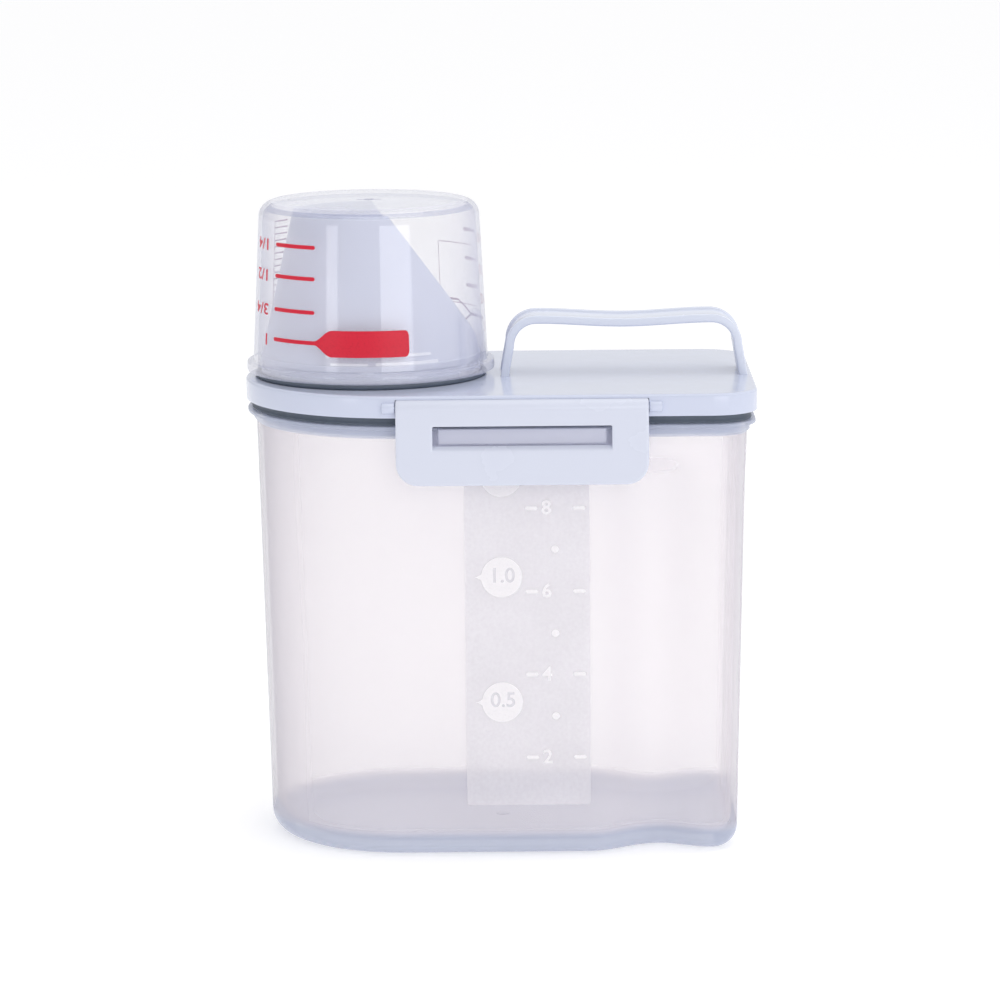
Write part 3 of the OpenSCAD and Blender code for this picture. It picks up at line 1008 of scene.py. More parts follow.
@dataclass
class Container:
    """The clear container with its hand grips, rim and catch bars."""

    bin: Bin
    catch_length: float = 56.5
    catch_height: float = 5.4
    catch_drop: float = 2.0
    catch_reach: float = 0.7
    catch_round: float = 0.6
    pad_longer: float = 5.0
    pad_taller: float = 2.0
    pad_thickness: float = 1.6
    pad_out: float = 0.1
    collar_step: float = 0.3
    lip_round: float = 0.5
    mouth_round: float = 0.4
    gate_radius: float = 2.2
    gate_rise: float = 0.3
    gate_sink: float = 0.2

    def wall_rings(self) -> list[tuple[float, float, float]]:
        """Heights of the wall's rings, from foot to rim to floor.

        Returns:
            For each ring its height, how far the wall is drawn in, and how far out it lies.
        """
        b = self.bin
        rings = [(z, -inset, 0.0) for inset, z in
                 arc((-b.foot_radius, b.foot_radius), b.foot_radius, -90, 0, 10)]
        fade_top = b.rim_height - b.grip_drop
        fade_foot = fade_top - b.grip_fade
        fade = spaced(fade_foot, fade_top, 16)
        rings += [(z, 0.0, 0.0) for z in spaced(b.foot_radius, fade_foot, 10)[1:] + fade[1:]]
        step, lip_in = self.collar_step, b.flange_out - self.lip_round
        rim = [(0.0, b.collar_foot - step), (step / 3, b.collar_foot),
               (b.collar_out - step / 2, b.collar_foot + step),
               (b.collar_out, b.collar_foot + 2 * step), (b.collar_out, b.flange_foot - step),
               (b.collar_out + step, b.flange_foot), (lip_in, b.flange_foot)]
        rim += arc((lip_in, b.flange_foot + self.lip_round), self.lip_round, -60, 0, 3)
        rim += arc((lip_in, b.rim_height - self.lip_round), self.lip_round, 0, 90, 4)
        rim += [(0.0, b.rim_height)]
        rim += arc((self.mouth_round - b.wall, b.rim_height - self.mouth_round),
                   self.mouth_round, 90, 180, 4)
        floor_top = b.floor + b.floor_radius
        rim += [(-b.wall, z) for z in reversed(spaced(floor_top, fade_foot, 10)[:-1] + fade)]
        rings += [(z, 0.0, out) for out, z in rim]
        rings += [(z, -inset, -b.wall) for inset, z in
                  arc((-b.floor_radius, floor_top), b.floor_radius, 0, -90, 10)[1:]]
        return rings

    def block(self, name: str, y: float, z: float, size: Point) -> bpy.types.Object:
        """A rounded block on a long wall, behind the latch."""
        rings = rounded_box((self.bin.latch_x, y, z), size, self.catch_round)
        return Solid().skin(rings, caps=True).make(name, CATCH_CLEAR)

    def build(self) -> None:
        """Builds the container and mounts it."""
        b = self.bin
        rings = [b.outline(out, z, inset + b.taper(z), b.grip_share(z))
                 for z, inset, out in self.wall_rings()]
        parts = [Solid().skin(rings, caps=True).make("container_shell", CONTAINER_CLEAR)]
        root = b.half_depth - b.wall / 2
        reach = b.half_depth + b.latch_out + self.catch_reach
        middle = b.collar_foot - self.catch_drop + self.catch_height / 2
        bar = (self.catch_length, reach - root, self.catch_height)
        pad = (self.catch_length + self.pad_longer, self.pad_thickness,
               self.catch_height + self.pad_taller)
        for side in Side:
            parts.append(self.block("catch_bar", side.value * (root + reach) / 2, middle, bar))
            parts.append(self.block("catch_pad", side.value * (b.half_depth + self.pad_out),
                                    middle - self.pad_taller / 2, pad))
        foot, top = b.floor - self.gate_sink, b.floor + self.gate_rise
        gate = [(0, foot), (self.gate_radius, foot), (self.gate_radius, top - self.gate_rise / 2),
                (self.gate_radius - self.gate_rise, top), (0, top)]
        parts.append(Solid().skin(lathe(0, gate, 32)).make("gate_mark", CONTAINER_CLEAR))
        mount(join("container_body", parts), Body.CONTAINER, Slot.CLEAR, "container")


@dataclass
class Marks:
    """Printed marks, made flat in millimetres and then laid on a surface."""

    finish: Finish
    font_scale: float = 1.38
    pointer_half: float = 0.9

    def __post_init__(self) -> None:
        """Starts with no marks."""
        self.parts: list[bpy.types.Object] = []

    def strip(self, first: float, last: float, level: Callable[[float], Pair],
              steps: int = 1) -> None:
        """A filled strip.

        Args:
            first: Where it starts along the line.
            last: Where it ends.
            level: Gives the lower and the upper edge at a place along the line.
            steps: The number of columns.
        """
        mesh = bmesh.new()
        columns = []
        for u in spaced(first, last, steps):
            low, high = level(u)
            columns.append([mesh.verts.new((u * MM, v * MM, 0)) for v in (low, high)])
        for a, b in zip(columns, columns[1:]):
            mesh.faces.new((a[0], b[0], b[1], a[1]))
        data = bpy.data.meshes.new("strip")
        mesh.to_mesh(data)
        mesh.free()
        self.parts.append(piece("strip", data, self.finish))

    def bar(self, first: float, last: float, middle: float, width: float) -> None:
        """A bar with round ends.

        Args:
            first: Where it starts.
            last: Where it ends.
            middle: The height of its middle line.
            width: Its width.
        """
        radius = width / 2

        def level(u: float) -> Pair:
            """Edges of the bar at u."""
            half = half_chord(radius, radius - min(u - first, last - u, radius))
            return middle - half, middle + half

        self.strip(first, last, level, 40)

    def disc(self, u: float, v: float, radius: float, pointer: float = 0.0) -> None:
        """A filled disc.

        Args:
            u: Middle along the line.
            v: Middle height.
            radius: The radius.
            pointer: Length of the small pointer at its left, if any.
        """
        left = u - radius - pointer

        def level(at: float) -> Pair:
            """Edges of the disc.

            Args:
                at: The place along the line.

            Returns:
                The lower and the upper edge.
            """
            half = half_chord(radius, at - u)
            if pointer and at < u - radius * 0.9:
                share = min(max((at - left) / pointer, 0.0), 1.0)
                half = max(half, self.pointer_half * share)
            return v - half, v + half

        self.strip(left, u + radius, level, 64)

    def text(self, words: str, u: float, v: float, height: float, turned: bool = False,
             spread: float = 1.0, bold: float = 0.1) -> None:
        """Plain numbers.

        Args:
            words: The numbers.
            u: Their middle along the line.
            v: Their middle height.
            height: Their height.
            turned: Turns them upside down.
            spread: How much wider than usual they are.
            bold: How far their strokes are set out.
        """
        curve = bpy.data.curves.new("numbers", "FONT")
        curve.body = words
        curve.align_x = "CENTER"
        curve.align_y = "CENTER"
        curve.size = height * self.font_scale
        curve.resolution_u = 4
        curve.offset = bold
        curve.fill_mode = "FRONT"
        holder = bpy.data.objects.new("numbers", curve)
        bpy.context.scene.collection.objects.link(holder)
        shown = holder.evaluated_get(bpy.context.evaluated_depsgraph_get())
        data = bpy.data.meshes.new_from_object(shown)
        bpy.data.objects.remove(holder)
        turn = -1 if turned else 1
        for vertex in data.vertices:
            x, y, _ = vertex.co
            vertex.co = ((u + turn * spread * x) * MM, (v + turn * y) * MM, 0)
        self.parts.append(piece("numbers", data, self.finish))

    def lay(self, name: str, surface: Callable[[float, float], Point]) -> bpy.types.Object:
        """Joins the marks and lays them on a surface.

        Args:
            name: Name of the piece.
            surface: Gives the point in millimetres for a place along the line and a height.

        Returns:
            The piece.
        """
        whole = join(name, self.parts)
        for vertex in whole.data.vertices:
            point = surface(vertex.co.x / MM, vertex.co.y / MM)
            vertex.co = [c * MM for c in point]
        whole.data.update()
        return whole


@dataclass
class ScaleLabel:
    """The frosted panel on the front wall with its level marks."""

    bin: Bin
    width: float = 42.0
    height: float = 117.0
    foot: float = 18.2
    thickness: float = 0.25
    corner: float = 1.2
    film_lift: float = 0.05
    marks_lift: float = 0.08
    numbers_lift: float = 0.11
    tick_width: float = 1.3
    tick_spans: tuple[Pair, ...] = ((8.4, 12.6), (24.5, 28.7))
    cup_x: float = 15.6
    cup_size: float = 4.9
    cup_levels: tuple[tuple[str, float], ...] = (("8", 121.1), ("6", 92.5), ("4", 63.8),
                                                 ("2", 34.9))
    dot_x: float = 18.45
    dot_radius: float = 1.25
    dot_levels: tuple[float, ...] = (107.0, 78.0, 49.3)
    disc_radius: float = 6.9
    disc_pointer: float = 2.0
    discs: tuple[Pair, ...] = ((0.5, 132.0), (0.4, 97.5), (0.35, 54.2))
    litre_x: float = 0.6
    litre_size: float = 5.2
    litre_levels: tuple[tuple[str, float], ...] = (("1.5", 132.4), ("1.0", 97.9), ("0.5", 54.8))

    def on_wall(self, out: float) -> Callable[[float, float], Point]:
        """A function that puts a place on the front wall, out millimetres from it."""
        b = self.bin
        return lambda x, z: (x, b.taper(z) - b.half_depth - out, z)

    def build(self) -> None:
        """Builds the panel and its marks and mounts them."""
        b = self.bin
        middle_x = b.grip_start - b.grip_spread * b.taper(self.foot) - self.width / 2
        middle_z = self.foot + self.height / 2
        flat = rounded_outline(self.width / 2, self.height / 2, self.corner)
        rings = []
        for out in (self.film_lift, self.film_lift + self.thickness):
            place = self.on_wall(out)
            rings.append([place(middle_x + x, middle_z + z) for x, z in flat])
        panel = Solid().skin(rings, caps=True).make("scale_panel", LABEL_FILM)
        mount(panel, Body.CONTAINER, Slot.LABEL, "scale_label")

        ink = Marks(LABEL_INK)
        for number, z in self.cup_levels:
            ink.text(number, self.cup_x, z, self.cup_size, bold=0.12)
            for first, last in self.tick_spans:
                ink.bar(first, last, z, self.tick_width)
        for z in self.dot_levels:
            ink.disc(self.dot_x, z, self.dot_radius)
        for x, z in self.discs:
            ink.disc(x, z, self.disc_radius, self.disc_pointer)
        marks = ink.lay("scale_marks", self.on_wall(self.thickness + self.marks_lift))
        mount(marks, Body.CONTAINER, Slot.LABEL)

        dark = Marks(DISC_INK)
        for number, z in self.litre_levels:
            dark.text(number, self.litre_x, z, self.litre_size)
        numbers = dark.lay("scale_numbers", self.on_wall(self.thickness + self.numbers_lift))
        mount(numbers, Body.CONTAINER, Slot.LABEL)


@dataclass
class Lid:
    """The lid with its band, plug wall, hinge pockets and bosses."""

    bin: Bin
    band_thickness: float = 1.8
    plug_depth: float = 4.0
    plug_thickness: float = 1.6
    plug_gap: float = 0.8
    ledge: float = 3.5
    neck_radius: float = 33.15
    edge: float = 1.0
    boss_radius: float = 1.9
    boss_length: float = 4.2
    end_gap: float = 0.35
    pocket_gap: float = 0.08
    pocket_end_gap: float = 0.15
    top_flat: float = 0.6
    band_round: float = 0.4
    plug_round: float = 0.5
    rod_ends: tuple[Pair, ...] = ((0.3, 0.0), (0.08, 0.08), (0.0, 0.3))

    def hole(self, z: float) -> Ring:
        """The spout's hole, with one point for each point of the lid's outline.

        Args:
            z: The height that the points get.

        Returns:
            The points.
        """
        b = self.bin
        ring = []
        for x, y, _ in b.outline(0.0, 0.0):
            turn = math.atan2(y, x - b.cup_x)
            ring.append((b.cup_x + self.neck_radius * math.cos(turn),
                         self.neck_radius * math.sin(turn), z))
        return ring

    def bar(self, name: str, radius: float, x: float, length: float,
            side: Side) -> bpy.types.Object:
        """A round bar on the hinge line.

        Args:
            name: The bar's name.
            radius: Its radius.
            x: X of its middle.
            length: Its length.
            side: Front or rear.

        Returns:
            The bar.
        """
        b = self.bin
        rings = rod((x, side.value * b.hinge_y, b.hinge_z), radius, length, self.rod_ends)
        return Solid().skin(rings, caps=True).make(name, LID_PLASTIC)

    def section(self) -> list[Pair]:
        """Place out from the wall and height along the section, from hole to hole.

        Returns:
            The points, from the top face around the rim to the underside.
        """
        b = self.bin
        plug_out = -b.wall - self.plug_gap
        plug_in = plug_out - self.plug_thickness
        ledge_out = plug_out + self.ledge
        plug_foot = b.rim_height - self.plug_depth
        band_in = b.lid_out - self.band_thickness
        edge, under, tip = self.edge, self.band_round, self.plug_round
        path = [(b.lid_out - edge - self.top_flat, b.lid_top)]
        path += arc((b.lid_out - edge, b.lid_top - edge), edge, 90, 0, 6)
        path += arc((b.lid_out - under, b.lid_foot + under), under, 0, -90, 3)
        path += [(band_in, b.lid_foot), (band_in, b.plate_foot), (ledge_out, b.plate_foot),
                 (ledge_out, b.gasket_top), (plug_out, b.gasket_top), (plug_out, plug_foot + tip)]
        path += arc((plug_out - tip, plug_foot + tip), tip, 0, -90, 3)[1:]
        return path + [(plug_in, plug_foot), (plug_in, b.plate_foot)]

    def build(self) -> None:
        """Builds the lid and mounts it."""
        b = self.bin
        rings = [self.hole(b.lid_top)]
        rings += [b.outline(out, z) for out, z in self.section()]
        rings += [self.hole(b.plate_foot)]
        shell = Solid().skin(rings, wrap=True).make("lid_shell", LID_PLASTIC)
        cut(shell, *(self.bar("pocket", b.roll_radius + self.pocket_gap, b.latch_x,
                              b.latch_length + 2 * self.pocket_end_gap, side) for side in Side))
        parts = [piece("lid_plate", shell.data, LID_PLASTIC)]
        bpy.data.objects.remove(shell)
        off = b.latch_length / 2 + self.end_gap + self.boss_length / 2
        parts += [self.bar("boss", self.boss_radius, b.latch_x + end * off, self.boss_length, side)
                  for side in Side for end in (-1, 1)]
        mount(join("lid_body", parts), Body.LID, Slot.LID, "lid")


@dataclass
class Gaskets:
    """The dark rings under the lid and under the cup."""

    bin: Bin
    inset: float = 1.9
    root: float = -2.65
    back: float = 0.5
    ridge: float = 0.45
    ring_lap: float = 0.8
    ring_gap: float = 0.15
    ring_bulge: float = 0.7
    ring_bulge_inset: float = 0.6

    def build(self) -> None:
        """Builds both rings and mounts them."""
        b = self.bin
        out = b.lid_out - self.inset
        back, ridge, centre = out - self.back, self.ridge, out - self.ridge
        low, high = b.gasket_foot, b.gasket_top
        profile = [(self.root, low), (back, low),
                   *arc((centre, low + ridge), ridge, -60, 60, 5), (back, (low + high) / 2),
                   *arc((centre, high - ridge), ridge, -60, 60, 5), (back, high),
                   (self.root, high)]
        ring = Solid().skin([b.outline(o, z) for o, z in profile], wrap=True)
        mount(ring.make("lid_seal", SEAL_RUBBER, 50), Body.LID, Slot.SEAL, "lid_gasket")
        outer = b.cup_inner + self.ring_lap
        inner = b.cup_inner - b.cup_room + self.ring_gap
        back = outer - self.back
        profile = [(inner, b.lid_top), (back, b.lid_top),
                   *arc((outer - self.ring_bulge_inset, b.lid_top + b.ring / 2),
                        self.ring_bulge, -60, 60, 6), (back, b.ring_top), (inner, b.ring_top)]
        ring = Solid().skin(lathe(b.cup_x, profile), wrap=True)
        mount(ring.make("spout_seal", SEAL_RUBBER, 50), Body.LID, Slot.SEAL, "spout_gasket")


@dataclass(frozen=True)
class NumberColumn:
    """Numbers above each other on the cup, upside down as the cup stands."""

    angle: float
    size: float
    spread: float
    numbers: tuple[tuple[str, float], ...]


@dataclass
class MeasuringCup:
    """The clear cup, brim down over the spout, with its printed measures.

    Spans around the wall are in degrees from +X, and levels are heights above the ground.
    """

    bin: Bin
    edge: float = 5.4
    flange_height: float = 3.5
    flange_foot_round: float = 0.6
    flange_top_round: float = 0.8
    fillet: float = 0.5
    flat_start: float = 0.8
    wall_start: float = 1.0
    brim: float = 1.5
    print_lift: float = 0.06
    front_span: Pair = (-144.0, -116.8)
    front_levels: tuple[float, ...] = (207.7, 197.1, 185.8)
    front_width: float = 1.35
    flag_level: float = 175.55
    flag_span: Pair = (-107.4, -69.5)
    flag_half: float = 4.5
    flag_stem_half: float = 0.68
    flag_round: float = 1.6
    red_columns: tuple[NumberColumn, ...] = (
        NumberColumn(-157.5, 3.9, 1.7, (("1/4", 207.4), ("1/2", 196.9), ("3/4", 185.4))),
        NumberColumn(-151.0, 3.9, 1.5, (("1", 175.2),)),
        NumberColumn(11.0, 3.6, 1.1, (("1/4", 206.0), ("1/2", 194.8), ("3/4", 184.6),
                                      ("1", 175.3))))
    back_span: Pair = (20.0, 33.0)
    back_levels: tuple[float, ...] = (207.5, 197.4, 187.8)
    back_width: float = 1.2
    outline_level: float = 177.7
    outline_stem: float = 13.3
    outline_span: tuple[float, float, float] = (29.6, 40.5, 80.0)
    outline_half: float = 4.4
    outline_line: float = 0.4
    stem_width: float = 1.1
    frame_span: Pair = (23.0, 53.0)
    frame_levels: Pair = (181.0, 202.2)
    frame_width: float = 0.3
    frame_side_half: float = 0.12
    ruler_span: Pair = (139.5, 150.0)
    ruler_foot: float = 179.4
    ruler_step: float = 2.24
    ruler_marks: int = 15
    ruler_width: float = 0.5
    ruler_edge: float = 150.3
    ruler_edge_half: float = 0.2
    ruler_edge_levels: Pair = (179.2, 211.0)
    gate_radius: float = 1.5
    gate_rise: float = 0.3
    rays: int = 8
    ray_size: Pair = (0.3, 0.12)
    ray_reaches: Pair = (3.4, 1.2)
    ray_start: float = 0.8
    knurls: int = 12
    knurl_span: Pair = (-43.0, -29.0)
    knurl_out: float = 0.15

    def radius(self, z: float) -> float:
        """Outside radius of the wall at height z.

        Args:
            z: The height.

        Returns:
            The radius, which stays the same above and below the wall.
        """
        b = self.bin
        low, high = b.cup_foot + self.flange_height, b.cup_top - self.edge
        share = min(max((z - low) / (high - low), 0.0), 1.0)
        return b.cup_radius + (b.cup_end_radius - b.cup_radius) * share

    def profile(self) -> list[Pair]:
        """Radius and height along the cup's section, as a closed loop.

        Returns:
            The points, from the brim up the outside and back down the inside.
        """
        b = self.bin
        flange = b.cup_radius + b.cup_flange_out
        flange_top = b.cup_foot + self.flange_height
        low, high, fillet = self.flange_foot_round, self.flange_top_round, self.fillet
        top, bend = b.cup_top - self.edge, b.cup_end_radius - self.edge
        flat = bend - self.flat_start
        path = [(b.cup_inner, b.cup_foot), (flange - low - 0.1, b.cup_foot)]
        path += arc((flange - low, b.cup_foot + low), low, -70, 0, 4)
        path += arc((flange - high, flange_top - high), high, 0, 90, 5)
        path += [(b.cup_radius + fillet + 0.1, flange_top)]
        path += arc((b.cup_radius + fillet, flange_top + fillet), fillet, 260, 190, 3)
        path += [(self.radius(z), z) for z in spaced(flange_top + self.wall_start, top, 8)]
        path += arc((bend, top), self.edge, 0, 90, 12)[1:]
        path += [(r, b.cup_top) for r in spaced(flat, 0, 5)]
        path += [(r, b.cup_top - b.cup_wall) for r in spaced(0, flat, 5)]
        path += reversed(arc((bend, top), self.edge - b.cup_wall, 0, 90, 12))
        path += [(self.radius(z) - b.cup_wall, z)
                 for z in reversed(spaced(b.cup_foot + self.brim, top, 8)[:-1])]
        return path

    def on_wall(self, out: float) -> Callable[[float, float], Point]:
        """A function that wraps a place around the wall.

        Args:
            out: How far out from the wall.

        Returns:
            A function of the length around the wall, counted from the front in millimetres
            of arc at the brim's radius, and the height.
        """
        b = self.bin

        def place(u: float, z: float) -> Point:
            """Wraps one place.

            Args:
                u: The length around the wall.
                z: The height.

            Returns:
                The point.
            """
            turn = u / b.cup_radius - math.pi / 2
            radius = self.radius(z) + out
            return b.cup_x + radius * math.cos(turn), radius * math.sin(turn), z

        return place

    def around(self, degrees: float) -> float:
        """Length around the wall for an angle from +X in degrees."""
        return math.radians(degrees + 90) * self.bin.cup_radius

    def flag(self, u: float) -> Pair:
        """Edges of the lowest red measure, which widens into a flag.

        Args:
            u: The length around the wall.

        Returns:
            The lower and the upper edge.
        """
        start, end = map(self.around, self.front_span)
        flag, last = map(self.around, self.flag_span)
        half, corner = self.flag_stem_half, self.flag_round
        if u < start + half:
            half = half_chord(half, start + half - u)
        if u > end:
            half += (self.flag_half - half) * ease((u - end) / (flag - end)) ** 0.8
        if u > last - corner:
            half -= corner - math.sqrt(max(corner ** 2 - (u - last + corner) ** 2, 0.0))
        return self.flag_level - half, self.flag_level + half

    def print_front(self) -> bpy.types.Object:
        """The red measures on the front of the cup.

        Returns:
            The piece.
        """
        ink = Marks(RED_INK)
        start, end = map(self.around, self.front_span)
        for z in self.front_levels:
            ink.bar(start, end, z, self.front_width)
        ink.strip(start, self.around(self.flag_span[1]), self.flag, 110)
        for column in self.red_columns:
            for number, z in column.numbers:
                ink.text(number, self.around(column.angle), z, column.size, turned=True,
                         spread=column.spread)
        return ink.lay("cup_red_marks", self.on_wall(self.print_lift))

    def print_back(self) -> bpy.types.Object:
        """The second scale on the far side of the cup, with a fine frame and ruler.

        Returns:
            The piece.
        """
        ink = Marks(FAR_INK)
        for z in self.back_levels:
            ink.bar(*map(self.around, self.back_span), z, self.back_width)
        point, shoulder, end = map(self.around, self.outline_span)
        middle, line = self.outline_level, self.outline_line
        ink.bar(self.around(self.outline_stem), point + 0.6, middle, self.stem_width)

        def edge(half: float) -> Callable[[float], Pair]:
            """One edge of the flag's outline.

            Args:
                half: How far it runs from the middle, with its sign.

            Returns:
                The line's two edges as a function of the length around.
            """
            def level(u: float) -> Pair:
                """Edges of the line at u."""
                z = middle + half * min((u - point) / (shoulder - point), 1.0)
                return z - line, z + line
            return level

        def upright(u: float, half: float, low: float, high: float) -> None:
            """A thin line up the wall."""
            ink.strip(u - half, u + half, lambda _: (low, high))

        for half in (-self.outline_half, self.outline_half):
            ink.strip(point, end, edge(half), 60)
        tall = self.outline_half + line
        upright(end, line, middle - tall, middle + tall)
        left, right = map(self.around, self.frame_span)
        for z in self.frame_levels:
            ink.bar(left, right, z, self.frame_width)
        for u in (left, right):
            upright(u, self.frame_side_half, *self.frame_levels)
        for i in range(self.ruler_marks):
            level = self.ruler_foot + self.ruler_step * i
            ink.bar(*map(self.around, self.ruler_span), level, self.ruler_width)
        upright(self.around(self.ruler_edge), self.ruler_edge_half, *self.ruler_edge_levels)
        return ink.lay("cup_far_marks", self.on_wall(self.print_lift))

    def details(self) -> list[bpy.types.Object]:
        """The gate mark with its star on the cup's end, and the knurl on its flange.

        Returns:
            The parts, to be joined to the cup.
        """
        b = self.bin
        top, rise, radius = b.cup_top, self.gate_rise, self.gate_radius
        gate = lathe(b.cup_x, [(0, top - 0.1), (radius, top - 0.1), (radius - 0.2, top + 0.25),
                               (0, top + rise)], 24)
        parts = [Solid().skin(gate).make("cup_gate", CUP_CLEAR)]
        for spoke in range(self.rays):
            reach = self.ray_reaches[spoke % 2]
            turn = math.radians(360 / self.rays * spoke)
            middle = (reach / 2 + self.ray_start, 0, top + 0.02)
            box = rounded_box(middle, (reach, *self.ray_size), 0.05)
            ray = [[(b.cup_x + x * math.cos(turn) - y * math.sin(turn),
                     x * math.sin(turn) + y * math.cos(turn), z) for x, y, z in ring]
                   for ring in box]
            # The star's rays take the same painted shade, so they show as dark lines
            parts.append(Solid().skin(ray, caps=True).make("star_ray", CUP_BEND_SHADE))
        flange = b.cup_radius + b.cup_flange_out
        root, crest = flange - 0.3, flange + self.knurl_out
        for turn in spaced(*map(math.radians, self.knurl_span), self.knurls):
            knurl = [[(b.cup_x + r * math.cos(turn + t), r * math.sin(turn + t), z)
                      for r, t in ((root, -0.007), (crest, -0.004), (crest, 0.004),
                                   (root, 0.007))]
                     for z in (b.cup_foot + 0.9, b.cup_foot + self.flange_height - 1)]
            parts.append(Solid().skin(knurl, caps=True).make("knurl", CUP_CLEAR))
        return parts

    def build(self) -> None:
        """Builds the cup and its prints and mounts them."""
        b = self.bin
        rings = lathe(b.cup_x, self.profile(), 160)
        cup = Solid().skin(rings, wrap=True).make("cup_shell", CUP_CLEAR)
        parts = [cup, *self.details()]
        top = (b.cup_top - self.edge) * MM
        # Painted reflection: the flat end, outside and in, takes the denser, whiter finish
        paint(cup, CUP_END_REFLECTION, lambda face: face.center.z > top and abs(face.normal.z) > 0.97)
        # Painted shade: the inner bend's faces take the darker finish
        paint(cup, CUP_BEND_SHADE, lambda face: face.center.z > top and -0.97 < face.normal.z < -0.6)
        mount(join("cup_body", parts), Body.CUP, Slot.CUP, "measuring_cup")
        mount(self.print_front(), Body.CUP, Slot.CUP)
        mount(self.print_back(), Body.CUP, Slot.CUP)


@dataclass
class PourSpout:
    """The slanted chute under the cup."""

    bin: Bin
    wall: float = 1.9
    collar_height: float = 8.0
    neck_radius: float = 33.0
    neck_wall: float = 1.8
    lean: float = 11.3
    cut_angle: float = 53.2
    lip_reach: float = 3.6
    lip_room: float = 1.9
    turn: float = 7.9
    groove_rise: float = 1.5
    groove_height: float = 2.3
    groove_depth: float = 0.8
    groove_slope: float = 0.2
    groove_pitch: float = 60.0
    bridge_half: float = 3.0
    collar_round: float = 0.4
    snap: float = 0.9
    edge_round: float = 0.35
    sides: int = 144
    rib_thickness: float = 1.2
    rib_out: float = 0.3
    rib_run: float = 50.0
    ribs: tuple[tuple[float, float, float, float], ...] = (
        (-113, -55, 170.6, 171.5), (-110, -90, 166.6, 168.7), (-86, -51, 166.6, 168.9))
    cutter_size: float = 120.0

    def profile(self, grooved: bool) -> list[Pair]:
        """Radius and height along the section, as a closed loop.

        Args:
            grooved: Whether the collar is hollowed here.

        Returns:
            The points.
        """
        b = self.bin
        collar = b.cup_inner - b.cup_room
        foot = collar - self.collar_round
        top = b.cup_top - b.cup_wall - self.lip_room
        lip = foot - self.lean
        collar_top = b.lid_top + self.collar_height
        low = b.ring_top + self.groove_rise
        high = low + self.groove_height
        hollow = collar - (self.groove_depth if grooved else 0.0)
        plate, neck, snap = b.plate_foot, self.neck_radius, self.neck_radius + self.snap
        bore = neck - self.neck_wall
        slant = [(foot + (lip - foot) * s, collar_top + (top - collar_top) * s)
                 for s in spaced(0, 1, 10)]
        path = [(bore, plate - 2), (snap - 0.2, plate - 2), (snap, plate - 1.6),
                (snap, plate - 0.3), (neck, plate - 0.3), (neck, b.lid_top), (collar, b.lid_top),
                (collar, low - self.groove_slope), (hollow, low), (hollow, high),
                (collar, high + self.groove_slope)]
        path += arc((foot, collar_top - self.collar_round), self.collar_round, 0, 90, 3)
        path += slant[1:] + [(lip - self.wall, top)]
        path += [(radius - self.wall, z) for radius, z in reversed(slant[:-1])]
        return path + [(bore, b.lid_top)]

    def rib(self, first: float, last: float, low: float, high: float) -> bpy.types.Object:
        """A low rib around the foot of the chute, in a lighter finish that is a painted highlight.

        Args:
            first: Where it starts, in degrees from +X.
            last: Where it ends.
            low: Height of its lower edge.
            high: Height of its upper edge.

        Returns:
            The rib.
        """
        b = self.bin
        foot = b.lid_top + self.collar_height
        rings = []
        for turn in spaced(math.radians(first), math.radians(last), 24):
            ring = []
            for inset, z in ((self.rib_thickness, low), (0.0, low), (0.0, high),
                             (self.rib_thickness, high)):
                wall = (b.cup_inner - b.cup_room - self.collar_round
                        - self.lean * max(z - foot, 0.0) / self.rib_run)
                radius = wall + self.rib_out - inset
                ring.append((b.cup_x + radius * math.cos(turn), radius * math.sin(turn), z))
            rings.append(ring)
        return Solid().skin(rings, caps=True).make("rib", SPOUT_RIB_HIGHLIGHT)

    def build(self) -> None:
        """Builds the spout and mounts it."""
        b = self.bin
        rings = []
        for (bridge, z), (hollow, _) in zip(self.profile(False), self.profile(True)):
            ring = []
            for i in range(self.sides):
                turn = 360 * i / self.sides
                past = (turn - 270) % self.groove_pitch
                bridged = min(past, self.groove_pitch - past) < self.bridge_half
                radius = bridge if bridged else hollow
                ring.append((b.cup_x + radius * math.cos(math.radians(turn)),
                             radius * math.sin(math.radians(turn)), z))
            rings.append(ring)
        spout = Solid().skin(rings, wrap=True).make("spout_body", SPOUT_PLASTIC)
        top = b.cup_top - b.cup_wall - self.lip_room
        far, side = self.cutter_size, self.cutter_size / 2
        box = [[(0, -side, z), (far, -side, z), (far, side, z), (0, side, z)] for z in (0, far)]
        cutter = Solid().skin(box, caps=True).make("cutter", SPOUT_PLASTIC)
        move = (Matrix.Translation(Vector((b.cup_x, 0, top)) * MM)
                @ Matrix.Rotation(math.radians(self.turn), 4, "Z")
                @ Matrix.Translation(Vector((self.lip_reach, 0, 0)) * MM)
                @ Matrix.Rotation(math.radians(self.cut_angle), 4, "Y"))
        cutter.data.transform(move)
        cut(spout, cutter)
        soften(spout, self.edge_round, 40)
        parts = [piece("spout_chute", spout.data, SPOUT_PLASTIC)]
        bpy.data.objects.remove(spout)
        parts += [self.rib(*rib) for rib in self.ribs]
        mount(join("pouring_spout", parts), Body.LID, Slot.SPOUT, "pour_spout")


